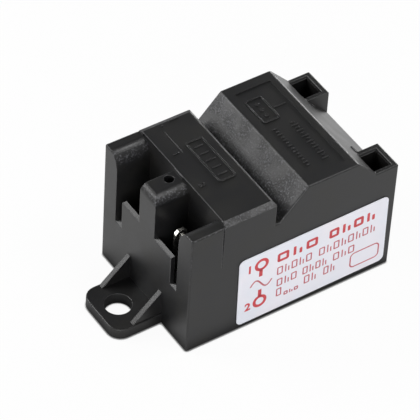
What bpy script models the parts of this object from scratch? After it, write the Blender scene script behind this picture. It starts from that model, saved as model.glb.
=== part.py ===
"""Electronic igniter for a gas burner: a potted spark generator in a moulded plastic housing.

Two flat blades in the front pockets take the supply, two sockets in the rear towers carry the
high voltage out, and a lug with one screw hole holds the housing down. Inside, a circuit board
with its capacitor, resistor and diodes feeds an ignition coil, and everything is cast in resin.

Units are metres. Every piece is drawn in the housing's own mould frame: X runs back from the
front face, Y across from the label side and Z up from the base. The empty named datum then
moves that frame so that the world origin is at the centre of the base.
"""

import math

import bmesh
import bpy
from mathutils import Matrix, Vector

# Housing outline, from front to rear
BODY_WIDTH = 0.0320
BODY_HEIGHT = 0.0320              # top of the middle block
FRONT_BLOCK_LENGTH = 0.0078
MIDDLE_BLOCK_LENGTH = 0.0122
GROOVE_FLOOR_LENGTH = 0.0008
REAR_TOP_LENGTH = 0.0121
FRONT_BLOCK_DROP = 0.0007         # front block below the middle block
GROOVE_DEPTH = 0.0060             # groove floor below the middle block
REAR_BLOCK_RISE = 0.0010          # rear block above the middle block
REAR_SLOPE_DROP = 0.0107          # from the rear block's top down to its rear face
GROOVE_ANGLE = math.radians(47.0)
REAR_SLOPE_ANGLE = math.radians(46.5)
MIDDLE_REAR_RADIUS = 0.0010
CREST_RADIUS = 0.0011
EDGE_RADIUS = 0.0004
WALL = 0.0016
CLEARANCE = 0.0003                # between neighbouring pieces

# Pockets for the supply blades
COLUMN_WIDTH = 0.0046
POST_WIDTH = 0.0055
FRONT_WALL = 0.0010
POCKET_FLOOR_HEIGHT = 0.0130
POCKET_UNDERCUT = 0.00015         # pocket cut into the middle block
WINDOW_DEPTH = 0.0105             # front wall's ledge below the columns' tops
CHANNEL_WIDTH = 0.0024
CHANNEL_LIP = 0.0006
COLUMN_SHOULDER_WIDTH = 0.0028
COLUMN_SHOULDER_DROP = 0.0045
POST_SHOULDER_WIDTH = 0.0024
POST_SHOULDER_DROP = 0.0022
POST_FRONT_RADIUS = 0.0018
PILOT_HOLE_DIAMETER = 0.0022
PILOT_HOLE_DEPTH = 0.0080
PILOT_HOLE_SETBACK = 0.0022

# Marks on the middle and rear blocks
SIDE_CHAMFER_WIDTH = 0.0013
SIDE_CHAMFER_DROP = 0.0008
SEAM_DEPTH = 0.0003
SEAM_LENGTH = 0.0110
PANEL_DEPTH = 0.00025
PANEL_SIDE_MARGIN = 0.0026
PANEL_FRONT_MARGIN = 0.0020
PANEL_REAR_MARGIN = 0.0017

# Towers at the rear, with a socket in each
TOWER_WIDTH = 0.00725
TOWER_RISE = 0.0057               # above the rear face
TOWER_GAP_STEP = 0.00005          # mould step on the slope between the towers
SOCKET_SIDE_WALL = 0.0012
SOCKET_END_WALL = 0.00145
SOCKET_LENGTH = 0.00455
SOCKET_DEPTH = 0.0140
SOCKET_CHAMFER = 0.00035

# Mounting lug
LUG_REACH = 0.01085
LUG_WIDTH = 0.0135
LUG_THICKNESS = 0.0027
LUG_CORNER_RADIUS = 0.0030
LUG_HOLE_DIAMETER = 0.0058
LUG_HOLE_SETBACK = 0.0048         # hole's centre from the lug's free edge
RIB_THICKNESS = 0.0011
RIB_INSET = 0.0003
RIB_REACH = 0.0065
RIB_RISE = 0.0060

# Rating label
LABEL_FRONT_MARGIN = 0.0041       # behind the front block
LABEL_REAR_MARGIN = 0.0014
LABEL_BOTTOM_MARGIN = 0.0012
LABEL_TOP_MARGIN = 0.0026         # below the rear face's top edge
LABEL_RADIUS = 0.0012
LABEL_THICKNESS = 0.00015
LABEL_GAP = 0.0001                # the adhesive
LABEL_TILT = math.radians(0.87)

# Terminals
BLADE_PITCH = 0.0120              # from one supply blade to the other
BLADE_SETBACK = 0.00165           # behind the wall before the pockets
BLADE_WIDTH = 0.0028
BLADE_THICKNESS = 0.0008
BLADE_RECESS = 0.0069             # blade's tip below the columns' tops
BLADE_TIP = 0.0007
CATCH_HOLE_DIAMETER = 0.0012      # for the plug's catch
CATCH_HOLE_DROP = 0.0015          # hole's middle below the tip
TAIL_WIDTH = 0.0016
SHOULDER_RISE = 0.0003            # from a tail's edge up to its terminal's side
TAIL_PROUD = 0.0012               # tails and leads below the circuit board
HV_TAB_WIDTH = 0.0028
HV_TAB_RISE = 0.0075
HV_TAB_TIP = 0.0006
HV_TAIL_DROP = 0.0039             # below the shaft of its tower

# Circuit board and what stands on it
RESIN_RECESS = 0.0005
RESIN_SKIN = 0.0007               # thinnest resin round a cast-in piece
BOARD_THICKNESS = 0.0016
BOARD_END_GAP = 0.0010
BOARD_EDGE = 0.0004               # least laminate between a slit and the board's edge
LEAD_DIAMETER = 0.0008
LEAD_OVERHANG = 0.0013            # from a body's end to its bent lead
DIODE_DIAMETER = 0.0027
DIODE_LENGTH = 0.0052
RESISTOR_DIAMETER = 0.0034
RESISTOR_LENGTH = 0.0090
CAPACITOR_WIDTH = 0.0075
CAPACITOR_LENGTH = 0.0200
CAPACITOR_HEIGHT = 0.0145
CAPACITOR_PITCH = 0.0150
CAPACITOR_EDGE = 0.0005

# Ignition coil
ROD_DIAMETER = 0.0060
ROD_RECESS = 0.0010
FORMER_WALL = 0.0010
FLANGE_THICKNESS = 0.0009
SECONDARY_CHAMBERS = 4
WINDING_STEP = 0.0015             # winding below its flanges' rims
PRIMARY_BUILD = 0.0012
PRIMARY_LEAD_PITCH = 0.0030
HV_LEAD_DIAMETER = 0.0012

# Facets
ARC_STEPS = 6
ROUND_STEPS = 48
TURNED_STEPS = 32
OVERCUT = 0.0010                  # how far a cutter runs past what it opens

# Heights above the base
FRONT_TOP = BODY_HEIGHT - FRONT_BLOCK_DROP
GROOVE_FLOOR = BODY_HEIGHT - GROOVE_DEPTH
REAR_TOP = BODY_HEIGHT + REAR_BLOCK_RISE
REAR_FACE_TOP = REAR_TOP - REAR_SLOPE_DROP
TOWER_TOP = REAR_FACE_TOP + TOWER_RISE
LEDGE_HEIGHT = FRONT_TOP - WINDOW_DEPTH
SOCKET_FLOOR = TOWER_TOP - SOCKET_DEPTH
SHAFT_BOTTOM = SOCKET_FLOOR - WALL
DIODE_AXIS = POCKET_FLOOR_HEIGHT - WALL - RESIN_SKIN - 2 * CLEARANCE - DIODE_DIAMETER / 2
BOARD_TOP = DIODE_AXIS - DIODE_DIAMETER / 2 - CLEARANCE
BOARD_BOTTOM = BOARD_TOP - BOARD_THICKNESS
TAIL_END = BOARD_BOTTOM - TAIL_PROUD

# Stations along the length, from the front face
GROOVE_FRONT = FRONT_BLOCK_LENGTH + MIDDLE_BLOCK_LENGTH
GROOVE_FLOOR_END = GROOVE_FRONT + GROOVE_FLOOR_LENGTH
REAR_TOP_START = GROOVE_FLOOR_END + (REAR_TOP - GROOVE_FLOOR) / math.tan(GROOVE_ANGLE)
CREST = REAR_TOP_START + REAR_TOP_LENGTH
BODY_LENGTH = CREST + REAR_SLOPE_DROP / math.tan(REAR_SLOPE_ANGLE)
TOWER_ROOT = CREST + (REAR_TOP - TOWER_TOP) / math.tan(REAR_SLOPE_ANGLE)
POCKET_REAR = FRONT_BLOCK_LENGTH + POCKET_UNDERCUT
BLADE_X = FRONT_WALL + BLADE_SETBACK + BLADE_WIDTH / 2
SOCKET_REAR = BODY_LENGTH - SOCKET_END_WALL
SOCKET_FRONT = SOCKET_REAR - SOCKET_LENGTH
SOCKET_X = (SOCKET_FRONT + SOCKET_REAR) / 2
SHAFT_FRONT = SOCKET_FRONT - SOCKET_END_WALL

# Places across the width, from the label side
MIDDLE_Y = BODY_WIDTH / 2
POST_HALF = POST_WIDTH / 2
COLUMN_FACE = MIDDLE_Y - COLUMN_WIDTH      # from the middle to a column's inner face
BLADE_Y = BLADE_PITCH / 2                  # from the middle to a blade
TOWER_FACE = MIDDLE_Y - TOWER_WIDTH        # from the middle to a tower's inner face
SOCKET_OFFSET = MIDDLE_Y - TOWER_WIDTH / 2

# Room for the cast-in pieces
CAST_MARGIN = WALL + 2 * CLEARANCE + RESIN_SKIN
CAST_GAP = 2 * CLEARANCE + RESIN_SKIN
TAIL_X = max(BLADE_X, CAST_MARGIN + BOARD_EDGE + CLEARANCE + TAIL_WIDTH / 2)
CAPACITOR_X = FRONT_BLOCK_LENGTH + CAST_MARGIN + CAPACITOR_WIDTH / 2
LANE_X = CAPACITOR_X + CAPACITOR_WIDTH / 2 + CAST_GAP + RESISTOR_DIAMETER / 2
COIL_FRONT = LANE_X + RESISTOR_DIAMETER / 2 + CAST_GAP
COIL_REAR = SHAFT_FRONT - CAST_GAP
COIL_SEAT = BOARD_TOP + CLEARANCE
COIL_HEADROOM = REAR_TOP - CAST_MARGIN - COIL_SEAT
FLANGE_DIAMETER = min(COIL_REAR - COIL_FRONT, COIL_HEADROOM)
COIL_X = COIL_REAR - FLANGE_DIAMETER / 2
COIL_Z = COIL_SEAT + FLANGE_DIAMETER / 2
FORMER_LENGTH = BODY_WIDTH - 2 * CAST_MARGIN
FORMER_RADIUS = ROD_DIAMETER / 2 + CLEARANCE + FORMER_WALL
CHAMBERS = SECONDARY_CHAMBERS + 1
CHAMBER_PITCH = (FORMER_LENGTH - FLANGE_THICKNESS) / CHAMBERS
SECONDARY_RADIUS = FLANGE_DIAMETER / 2 - WINDING_STEP
PRIMARY_RADIUS = FORMER_RADIUS + CLEARANCE + PRIMARY_BUILD
HV_TAIL_END = SHAFT_BOTTOM - HV_TAIL_DROP


def clear_scene():
    """Remove every object of the scene that the script starts in."""
    for item in list(bpy.data.objects):
        bpy.data.objects.remove(item, do_unlink=True)


def new_collection(name):
    """Add a collection to the scene."""
    collection = bpy.data.collections.new(name)
    bpy.context.scene.collection.children.link(collection)
    return collection


clear_scene()
PARTS = new_collection("igniter")
CUTTERS = new_collection("cutters")
DATUM = bpy.data.objects.new("datum", None)
PARTS.objects.link(DATUM)
DATUM.location = (
    -(BODY_LENGTH - LUG_REACH) / 2,
    -(BODY_WIDTH - LABEL_GAP - LABEL_THICKNESS) / 2,
    0.0,
)


def material(name, colour, roughness, metallic=0.0):
    """Make a Principled material of one colour."""
    made = bpy.data.materials.new(name)
    made.use_nodes = True
    shader = made.node_tree.nodes["Principled BSDF"]
    shader.inputs["Base Color"].default_value = (*colour, 1.0)
    shader.inputs["Roughness"].default_value = roughness
    shader.inputs["Metallic"].default_value = metallic
    made.diffuse_color = (*colour, 1.0)
    return made


BLACK_PLASTIC = material("black_moulded_plastic", (0.026, 0.026, 0.027), 0.45)
RESIN = material("black_casting_resin", (0.020, 0.020, 0.023), 0.25)
LABEL_FILM = material("white_label_film", (0.77, 0.79, 0.86), 0.40)
TINNED_BRASS = material("tinned_brass", (0.72, 0.71, 0.68), 0.25, 1.0)
BOARD_LAMINATE = material("board_laminate", (0.32, 0.27, 0.10), 0.50)
CAPACITOR_BOX = material("capacitor_box", (0.05, 0.12, 0.38), 0.40)
RESISTOR_COAT = material("resistor_coating", (0.42, 0.30, 0.17), 0.55)
DIODE_BODY = material("diode_moulding", (0.02, 0.02, 0.02), 0.40)
NATURAL_NYLON = material("natural_nylon", (0.76, 0.71, 0.58), 0.50)
FERRITE = material("sintered_ferrite", (0.05, 0.05, 0.055), 0.60)
ENAMELLED_COPPER = material("enamelled_copper", (0.48, 0.17, 0.05), 0.35, 1.0)
LEAD_SLEEVE = material("silicone_sleeve", (0.55, 0.09, 0.06), 0.55)


def add_part(name, mesh, finish):
    """Put a mesh into the scene as one of the igniter's pieces."""
    part = bpy.data.objects.new(name, mesh)
    part.parent = DATUM
    mesh.materials.clear()
    mesh.materials.append(finish)
    PARTS.objects.link(part)
    return part


def add_cutter(name, mesh):
    """Put a mesh into the scene as a hidden tool for a Boolean."""
    cutter = bpy.data.objects.new(name, mesh)
    cutter.parent = DATUM
    cutter.hide_render = True
    cutter.display_type = "WIRE"
    CUTTERS.objects.link(cutter)
    return cutter


def boolean(part, tool, operation):
    """Add a Boolean of that tool to a part."""
    modifier = part.modifiers.new(tool.name, "BOOLEAN")
    modifier.operation = operation
    modifier.solver = "EXACT"
    modifier.object = tool


def cut(part, tool):
    """Take the tool's volume out of a part."""
    boolean(part, tool, "DIFFERENCE")


def join(part, tool):
    """Fuse the tool's volume to a part."""
    boolean(part, tool, "UNION")


def finish_bmesh(name, shape):
    """Turn a bmesh into a mesh whose faces point out."""
    shape.normal_update()
    bmesh.ops.recalc_face_normals(shape, faces=shape.faces)
    mesh = bpy.data.meshes.new(name)
    shape.to_mesh(mesh)
    shape.free()
    return mesh


def round_convex_edges(shape, radius, steps):
    """Round each sharp outer edge of a bmesh, and leave its inner corners sharp."""
    sharp = [
        edge
        for edge in shape.edges
        if edge.is_convex and edge.calc_face_angle(0.0) > math.radians(30.0)
    ]
    bmesh.ops.bevel(
        shape,
        geom=sharp,
        offset=radius,
        segments=steps,
        profile=0.5,
        affect="EDGES",
        clamp_overlap=True,
    )


def block_mesh(name, low, high, edge_radius=0.0):
    """Make a box between two corners, with its edges rounded if a radius is given."""
    shape = bmesh.new()
    bmesh.ops.create_cube(shape, size=2.0)
    for vertex in shape.verts:
        vertex.co = Vector(
            high[axis] if vertex.co[axis] > 0 else low[axis] for axis in range(3)
        )
    if edge_radius > 0.0:
        round_convex_edges(shape, edge_radius, 2)
    return finish_bmesh(name, shape)


def in_plane(plane, across, up, normal):
    """Place a point of a drawing plane: its two coordinates and its distance along the normal."""
    if plane == "XY":
        return Vector((across, up, normal))
    if plane == "XZ":
        return Vector((across, normal, up))
    return Vector((normal, across, up))


def cylinder_mesh(name, plane, centre, radius, low, high, steps=ROUND_STEPS):
    """Make a cylinder that stands on a drawing plane, between two distances from it."""
    shape = bmesh.new()
    bmesh.ops.create_cone(
        shape, cap_ends=True, segments=steps, radius1=radius, radius2=radius, depth=2.0
    )
    for vertex in shape.verts:
        normal = high if vertex.co.z > 0 else low
        vertex.co = in_plane(plane, centre[0] + vertex.co.x, centre[1] + vertex.co.y, normal)
    return finish_bmesh(name, shape)


def outline_mesh(name, plane, points, low, high, edge_radius=0.0):
    """Extrude a flat outline between two distances from its drawing plane."""
    curve = bpy.data.curves.new(name, "CURVE")
    curve.dimensions = "2D"
    curve.fill_mode = "BOTH"
    curve.extrude = (high - low) / 2
    spline = curve.splines.new("POLY")
    spline.points.add(len(points) - 1)
    for point, (across, up) in zip(spline.points, points):
        point.co = (across, up, 0.0, 1.0)
    spline.use_cyclic_u = True
    drawn = bpy.data.objects.new(name, curve)
    CUTTERS.objects.link(drawn)
    graph = bpy.context.evaluated_depsgraph_get()
    mesh = bpy.data.meshes.new_from_object(drawn.evaluated_get(graph))
    bpy.data.objects.remove(drawn, do_unlink=True)
    bpy.data.curves.remove(curve)

    shape = bmesh.new()
    shape.from_mesh(mesh)
    bpy.data.meshes.remove(mesh)
    bmesh.ops.remove_doubles(shape, verts=shape.verts, dist=1e-6)
    for vertex in shape.verts:
        normal = high if vertex.co.z > 0 else low
        vertex.co = in_plane(plane, vertex.co.x, vertex.co.y, normal)
    shape.normal_update()
    bmesh.ops.recalc_face_normals(shape, faces=shape.faces)
    bmesh.ops.dissolve_limit(
        shape, angle_limit=math.radians(0.5), verts=shape.verts, edges=shape.edges
    )
    if edge_radius > 0.0:
        round_convex_edges(shape, edge_radius, 3)
    return finish_bmesh(name, shape)


def rounded_outline(corners):
    """Turn corners (across, up, radius) into points, with an arc at each one that has a radius."""
    points = []
    for index, (across, up, radius) in enumerate(corners):
        here = Vector((across, up))
        if radius <= 0.0:
            points.append((here.x, here.y))
            continue
        before = Vector(corners[index - 1][:2]) - here
        after = Vector(corners[(index + 1) % len(corners)][:2]) - here
        half_angle = before.angle(after) / 2
        reach = radius / math.tan(half_angle)
        centre_line = (before.normalized() + after.normalized()).normalized()
        centre = here + centre_line * (radius / math.sin(half_angle))
        start = here + before.normalized() * reach - centre
        end = here + after.normalized() * reach - centre
        sweep = start.angle_signed(end)
        for step in range(ARC_STEPS + 1):
            turned = start.copy()
            turned.rotate(Matrix.Rotation(-sweep * step / ARC_STEPS, 2))
            points.append((centre.x + turned.x, centre.y + turned.y))
    return points


def elliptic_shoulder(centre, across, up):
    """Give the points of a quarter ellipse, from its side out at centre + across to its top."""
    points = []
    for step in range(2 * ARC_STEPS + 1):
        angle = math.pi / 2 * step / (2 * ARC_STEPS)
        points.append((centre[0] + across * math.cos(angle), centre[1] + up * math.sin(angle)))
    return points


def bent_path(corners, bend):
    """Round the corners of a wire's route, each with a parabola.

    The parabola starts a bend's length off its corner, or half-way to the next one if that is
    nearer, so that the wire never folds back on itself.
    """
    corners = [Vector(corner) for corner in corners]
    path = [corners[0]]
    for before, here, after in zip(corners, corners[1:], corners[2:]):
        start = here + (before - here).normalized() * min(bend, (before - here).length / 2)
        end = here + (after - here).normalized() * min(bend, (after - here).length / 2)
        for step in range(5):
            along = step / 4
            path.append(
                start * (1 - along) ** 2 + here * 2 * along * (1 - along) + end * along**2
            )
    path.append(corners[-1])
    return path


def wire_mesh(name, path, diameter):
    """Make a closed round wire along a path."""
    curve = bpy.data.curves.new(name, "CURVE")
    curve.dimensions = "3D"
    curve.bevel_depth = diameter / 2
    curve.bevel_resolution = 2
    curve.use_fill_caps = True
    spline = curve.splines.new("POLY")
    spline.points.add(len(path) - 1)
    for point, place in zip(spline.points, path):
        point.co = (*place, 1.0)
    drawn = bpy.data.objects.new(name, curve)
    CUTTERS.objects.link(drawn)
    graph = bpy.context.evaluated_depsgraph_get()
    mesh = bpy.data.meshes.new_from_object(drawn.evaluated_get(graph))
    bpy.data.objects.remove(drawn, do_unlink=True)
    bpy.data.curves.remove(curve)
    shape = bmesh.new()
    shape.from_mesh(mesh)
    bpy.data.meshes.remove(mesh)
    bmesh.ops.remove_doubles(shape, verts=shape.verts, dist=1e-6)
    return finish_bmesh(name, shape)


def turned_part(name, profile, centre, finish):
    """Revolve a closed profile (radius, distance) about an axis along Y through a centre."""
    mesh = bpy.data.meshes.new(name)
    vertices = [(radius, 0.0, distance) for radius, distance in profile]
    edges = [(index, (index + 1) % len(profile)) for index in range(len(profile))]
    mesh.from_pydata(vertices, edges, [])
    part = add_part(name, mesh, finish)
    part.location = centre
    part.rotation_euler = (-math.pi / 2, 0.0, 0.0)
    screw = part.modifiers.new("revolve", "SCREW")
    screw.axis = "Z"
    screw.steps = TURNED_STEPS
    screw.render_steps = TURNED_STEPS
    screw.use_merge_vertices = True
    screw.merge_threshold = 0.00001
    screw.use_smooth_shade = True
    return part


def shade_round(part):
    """Shade a round piece smooth, with its real edges kept sharp."""
    part.data.shade_smooth()
    part.data.set_sharp_from_angle(angle=math.radians(35.0))


def roof_corners(inset):
    """Give the roof line from the front wall to the rear wall, moved into the housing by inset.

    The line follows the floor of the pockets, the middle block, the groove, the rear block and
    the rear slope. A corner between a level stretch and a slope moves along by the inset times
    the tangent of half the slope's angle.
    """
    groove_shift = inset * math.tan(GROOVE_ANGLE / 2)
    crest_shift = inset * math.tan(REAR_SLOPE_ANGLE / 2)
    rear_drop = inset / math.cos(REAR_SLOPE_ANGLE) - inset * math.tan(REAR_SLOPE_ANGLE)
    return [
        (inset, POCKET_FLOOR_HEIGHT - inset),
        (FRONT_BLOCK_LENGTH + inset, POCKET_FLOOR_HEIGHT - inset),
        (FRONT_BLOCK_LENGTH + inset, BODY_HEIGHT - inset),
        (GROOVE_FRONT - inset, BODY_HEIGHT - inset),
        (GROOVE_FRONT - inset, GROOVE_FLOOR - inset),
        (GROOVE_FLOOR_END + groove_shift, GROOVE_FLOOR - inset),
        (REAR_TOP_START + groove_shift, REAR_TOP - inset),
        (CREST - crest_shift, REAR_TOP - inset),
        (BODY_LENGTH - inset, REAR_FACE_TOP - rear_drop),
    ]


def inside_outline(inset, bottom):
    """Close the roof line to an outline down to a level."""
    return [(BODY_LENGTH - inset, bottom), (inset, bottom), *roof_corners(inset)]


def side_outline():
    """Draw the housing from the label side, with a tower at its rear."""
    return rounded_outline(
        [
            (0.0, 0.0, 0.0),
            (BODY_LENGTH, 0.0, 0.0),
            (BODY_LENGTH, TOWER_TOP, 0.0),
            (TOWER_ROOT, TOWER_TOP, 0.0),
            (CREST, REAR_TOP, CREST_RADIUS),
            (REAR_TOP_START, REAR_TOP, 0.0),
            (GROOVE_FLOOR_END, GROOVE_FLOOR, 0.0),
            (GROOVE_FRONT, GROOVE_FLOOR, 0.0),
            (GROOVE_FRONT, BODY_HEIGHT, MIDDLE_REAR_RADIUS),
            (FRONT_BLOCK_LENGTH, BODY_HEIGHT, 0.0),
            (FRONT_BLOCK_LENGTH, FRONT_TOP, 0.0),
            (0.0, FRONT_TOP, 0.0),
        ]
    )


def across_slot(side, points):
    """Turn distances from the middle into Y, on the label side (-1) or the far side (+1)."""
    placed = [(MIDDLE_Y + side * offset, height) for offset, height in points]
    return placed if side > 0 else placed[::-1]


def slot_top(side):
    """Give a slot's upper edge, from the column's shoulder to the post's, as offsets and heights."""
    column = elliptic_shoulder(
        (COLUMN_FACE + COLUMN_SHOULDER_WIDTH, FRONT_TOP - COLUMN_SHOULDER_DROP),
        -COLUMN_SHOULDER_WIDTH,
        COLUMN_SHOULDER_DROP,
    )
    over = FRONT_TOP + OVERCUT
    points = [*column, (COLUMN_FACE + COLUMN_SHOULDER_WIDTH, over)]
    if side > 0:
        return [*points, (POST_HALF, over)]
    post = elliptic_shoulder(
        (POST_HALF - POST_SHOULDER_WIDTH, FRONT_TOP - POST_SHOULDER_DROP),
        POST_SHOULDER_WIDTH,
        POST_SHOULDER_DROP,
    )
    return [*points, (POST_HALF - POST_SHOULDER_WIDTH, over), *post[::-1]]


def cut_slot(housing, side):
    """Cut one pocket between the post and a column, and the window in the wall before it."""
    top = slot_top(side)
    pocket = [(POST_HALF, POCKET_FLOOR_HEIGHT), (COLUMN_FACE, POCKET_FLOOR_HEIGHT), *top]
    channel_face = COLUMN_FACE - CHANNEL_WIDTH
    channel_floor = POCKET_FLOOR_HEIGHT + CHANNEL_LIP
    window = [
        (POST_HALF, LEDGE_HEIGHT),
        (channel_face, LEDGE_HEIGHT),
        (channel_face, channel_floor),
        (COLUMN_FACE, channel_floor),
        *top,
    ]
    number = 1 if side > 0 else 2
    pocket_tool = outline_mesh(
        f"pocket_{number}", "YZ", across_slot(side, pocket), FRONT_WALL, POCKET_REAR
    )
    window_tool = outline_mesh(
        f"window_{number}", "YZ", across_slot(side, window), -OVERCUT, FRONT_WALL + OVERCUT / 2
    )
    cut(housing, add_cutter(f"pocket_{number}", pocket_tool))
    cut(housing, add_cutter(f"window_{number}", window_tool))


def cut_post(housing):
    """Round the post's front edge and sink the pilot hole in its top."""
    radius = POST_FRONT_RADIUS
    corner = [(-OVERCUT, FRONT_TOP - radius), (0.0, FRONT_TOP - radius)]
    for step in range(1, ARC_STEPS + 1):
        angle = math.pi / 2 * step / ARC_STEPS
        corner.append(
            (radius - radius * math.cos(angle), FRONT_TOP - radius + radius * math.sin(angle))
        )
    corner += [(radius, FRONT_TOP + OVERCUT), (-OVERCUT, FRONT_TOP + OVERCUT)]
    reach = POST_HALF + OVERCUT / 2
    rounding = outline_mesh("post_rounding", "XZ", corner, MIDDLE_Y - reach, MIDDLE_Y + reach)
    cut(housing, add_cutter("post_rounding", rounding))
    hole_y = MIDDLE_Y + POST_SHOULDER_WIDTH / 2
    hole = cylinder_mesh(
        "pilot_hole",
        "XY",
        (FRONT_BLOCK_LENGTH - PILOT_HOLE_SETBACK, hole_y),
        PILOT_HOLE_DIAMETER / 2,
        FRONT_TOP - PILOT_HOLE_DEPTH,
        FRONT_TOP + OVERCUT,
        24,
    )
    cut(housing, add_cutter("pilot_hole", hole))


def cut_side_marks(housing, side):
    """Bevel the middle block's top edge on one side, and run the seam down beside it."""
    face = MIDDLE_Y
    bevel = [
        (face - SIDE_CHAMFER_WIDTH, BODY_HEIGHT + OVERCUT),
        (face - SIDE_CHAMFER_WIDTH, BODY_HEIGHT),
        (face + OVERCUT, BODY_HEIGHT - SIDE_CHAMFER_DROP * (1 + OVERCUT / SIDE_CHAMFER_WIDTH)),
        (face + OVERCUT, BODY_HEIGHT + OVERCUT),
    ]
    bevel_tool = outline_mesh(
        f"side_bevel_{side}",
        "YZ",
        across_slot(side, bevel),
        FRONT_BLOCK_LENGTH - OVERCUT / 2,
        GROOVE_FRONT + OVERCUT,
    )
    cut(housing, add_cutter(f"side_bevel_{side}", bevel_tool))

    half = SEAM_DEPTH
    seam_x = FRONT_BLOCK_LENGTH - half
    seam = bmesh.new()
    bmesh.ops.create_cube(seam, size=2.0)
    outside = MIDDLE_Y + OVERCUT
    for vertex in seam.verts:
        high = vertex.co.z > 0
        deep = vertex.co.y < 0
        height = FRONT_TOP + OVERCUT if high else FRONT_TOP - SEAM_LENGTH
        depth = SEAM_DEPTH if high else SEAM_DEPTH / 8
        width = half / 4 if deep else half * 2
        offset = MIDDLE_Y - depth if deep else outside
        vertex.co = Vector(
            (seam_x + (width if vertex.co.x > 0 else -width), MIDDLE_Y + side * offset, height)
        )
    cut(housing, add_cutter(f"seam_{side}", finish_bmesh(f"seam_{side}", seam)))


def cut_panel(housing):
    """Sink the shallow panel in the rear block's top."""
    panel = block_mesh(
        "panel",
        (REAR_TOP_START + PANEL_FRONT_MARGIN, PANEL_SIDE_MARGIN, REAR_TOP - PANEL_DEPTH),
        (CREST - PANEL_REAR_MARGIN, BODY_WIDTH - PANEL_SIDE_MARGIN, REAR_TOP + OVERCUT),
    )
    cut(housing, add_cutter("panel", panel))


def cut_tower_gap(housing):
    """Take the slope down between the towers, a mould step deeper than beside the crest."""
    fall = math.tan(REAR_SLOPE_ANGLE)
    step = TOWER_GAP_STEP / math.cos(REAR_SLOPE_ANGLE)
    start = TOWER_ROOT - OVERCUT
    end = BODY_LENGTH + OVERCUT
    over = REAR_TOP + OVERCUT
    gap = [
        (start, REAR_TOP - (start - CREST) * fall - step),
        (end, REAR_TOP - (end - CREST) * fall - step),
        (end, over),
        (start, over),
    ]
    tool = outline_mesh("tower_gap", "XZ", gap, MIDDLE_Y - TOWER_FACE, MIDDLE_Y + TOWER_FACE)
    cut(housing, add_cutter("tower_gap", tool))


def add_shaft(housing, side):
    """Fuse the shaft that carries a socket down inside the housing."""
    outer = MIDDLE_Y - WALL / 2
    ends = sorted((MIDDLE_Y + side * TOWER_FACE, MIDDLE_Y + side * outer))
    shaft = block_mesh(
        f"shaft_{side}",
        (SHAFT_FRONT, ends[0], SHAFT_BOTTOM),
        (BODY_LENGTH - WALL / 2, ends[1], REAR_FACE_TOP - WALL),
    )
    join(housing, add_cutter(f"shaft_{side}", shaft))


def cut_socket(housing, side):
    """Sink a tower's socket, flare its mouth and leave a slit in its floor for the contact."""
    middle = MIDDLE_Y + side * SOCKET_OFFSET
    half = TOWER_WIDTH / 2 - SOCKET_SIDE_WALL
    socket = block_mesh(
        f"socket_{side}",
        (SOCKET_FRONT, middle - half, SOCKET_FLOOR),
        (SOCKET_REAR, middle + half, REAR_TOP + OVERCUT),
    )
    cut(housing, add_cutter(f"socket_{side}", socket))
    flare = bmesh.new()
    bmesh.ops.create_cube(flare, size=2.0)
    for vertex in flare.verts:
        high = vertex.co.z > 0
        grow = 2 * SOCKET_CHAMFER if high else 0.0
        across = SOCKET_REAR + grow if vertex.co.x > 0 else SOCKET_FRONT
        along = half + grow if vertex.co.y > 0 else -half - grow
        height = TOWER_TOP + (SOCKET_CHAMFER if high else -SOCKET_CHAMFER)
        vertex.co = Vector((across, middle + along, height))
    cut(housing, add_cutter(f"flare_{side}", finish_bmesh(f"flare_{side}", flare)))
    slit = block_mesh(
        f"contact_slit_{side}",
        (
            SOCKET_X - BLADE_THICKNESS / 2 - CLEARANCE,
            middle - TAIL_WIDTH / 2 - CLEARANCE,
            SHAFT_BOTTOM - OVERCUT,
        ),
        (
            SOCKET_X + BLADE_THICKNESS / 2 + CLEARANCE,
            middle + TAIL_WIDTH / 2 + CLEARANCE,
            SOCKET_FLOOR + OVERCUT,
        ),
    )
    cut(housing, add_cutter(f"contact_slit_{side}", slit))


def add_lug(housing):
    """Fuse the mounting lug and its two ribs to the front wall, and drill the lug."""
    half = LUG_WIDTH / 2
    root = WALL / 2
    plan = rounded_outline(
        [
            (root, MIDDLE_Y - half, 0.0),
            (root, MIDDLE_Y + half, 0.0),
            (-LUG_REACH, MIDDLE_Y + half, LUG_CORNER_RADIUS),
            (-LUG_REACH, MIDDLE_Y - half, LUG_CORNER_RADIUS),
        ]
    )
    lug = outline_mesh("lug", "XY", plan[::-1], 0.0, LUG_THICKNESS, 0.0003)
    join(housing, add_cutter("lug", lug))
    sunk = LUG_THICKNESS / 2
    triangle = [
        (-RIB_REACH - sunk * RIB_REACH / RIB_RISE, LUG_THICKNESS - sunk),
        (root, LUG_THICKNESS - sunk),
        (root, LUG_THICKNESS + RIB_RISE),
        (0.0, LUG_THICKNESS + RIB_RISE),
    ]
    for side in (-1, 1):
        outer = MIDDLE_Y + side * (half - RIB_INSET)
        inner = outer - side * RIB_THICKNESS
        rib = outline_mesh(
            f"rib_{side}", "XZ", triangle, min(outer, inner), max(outer, inner)
        )
        join(housing, add_cutter(f"rib_{side}", rib))
    hole = cylinder_mesh(
        "lug_hole",
        "XY",
        (LUG_HOLE_SETBACK - LUG_REACH, MIDDLE_Y),
        LUG_HOLE_DIAMETER / 2,
        -OVERCUT,
        LUG_THICKNESS + OVERCUT,
    )
    cut(housing, add_cutter("lug_hole", hole))


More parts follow.
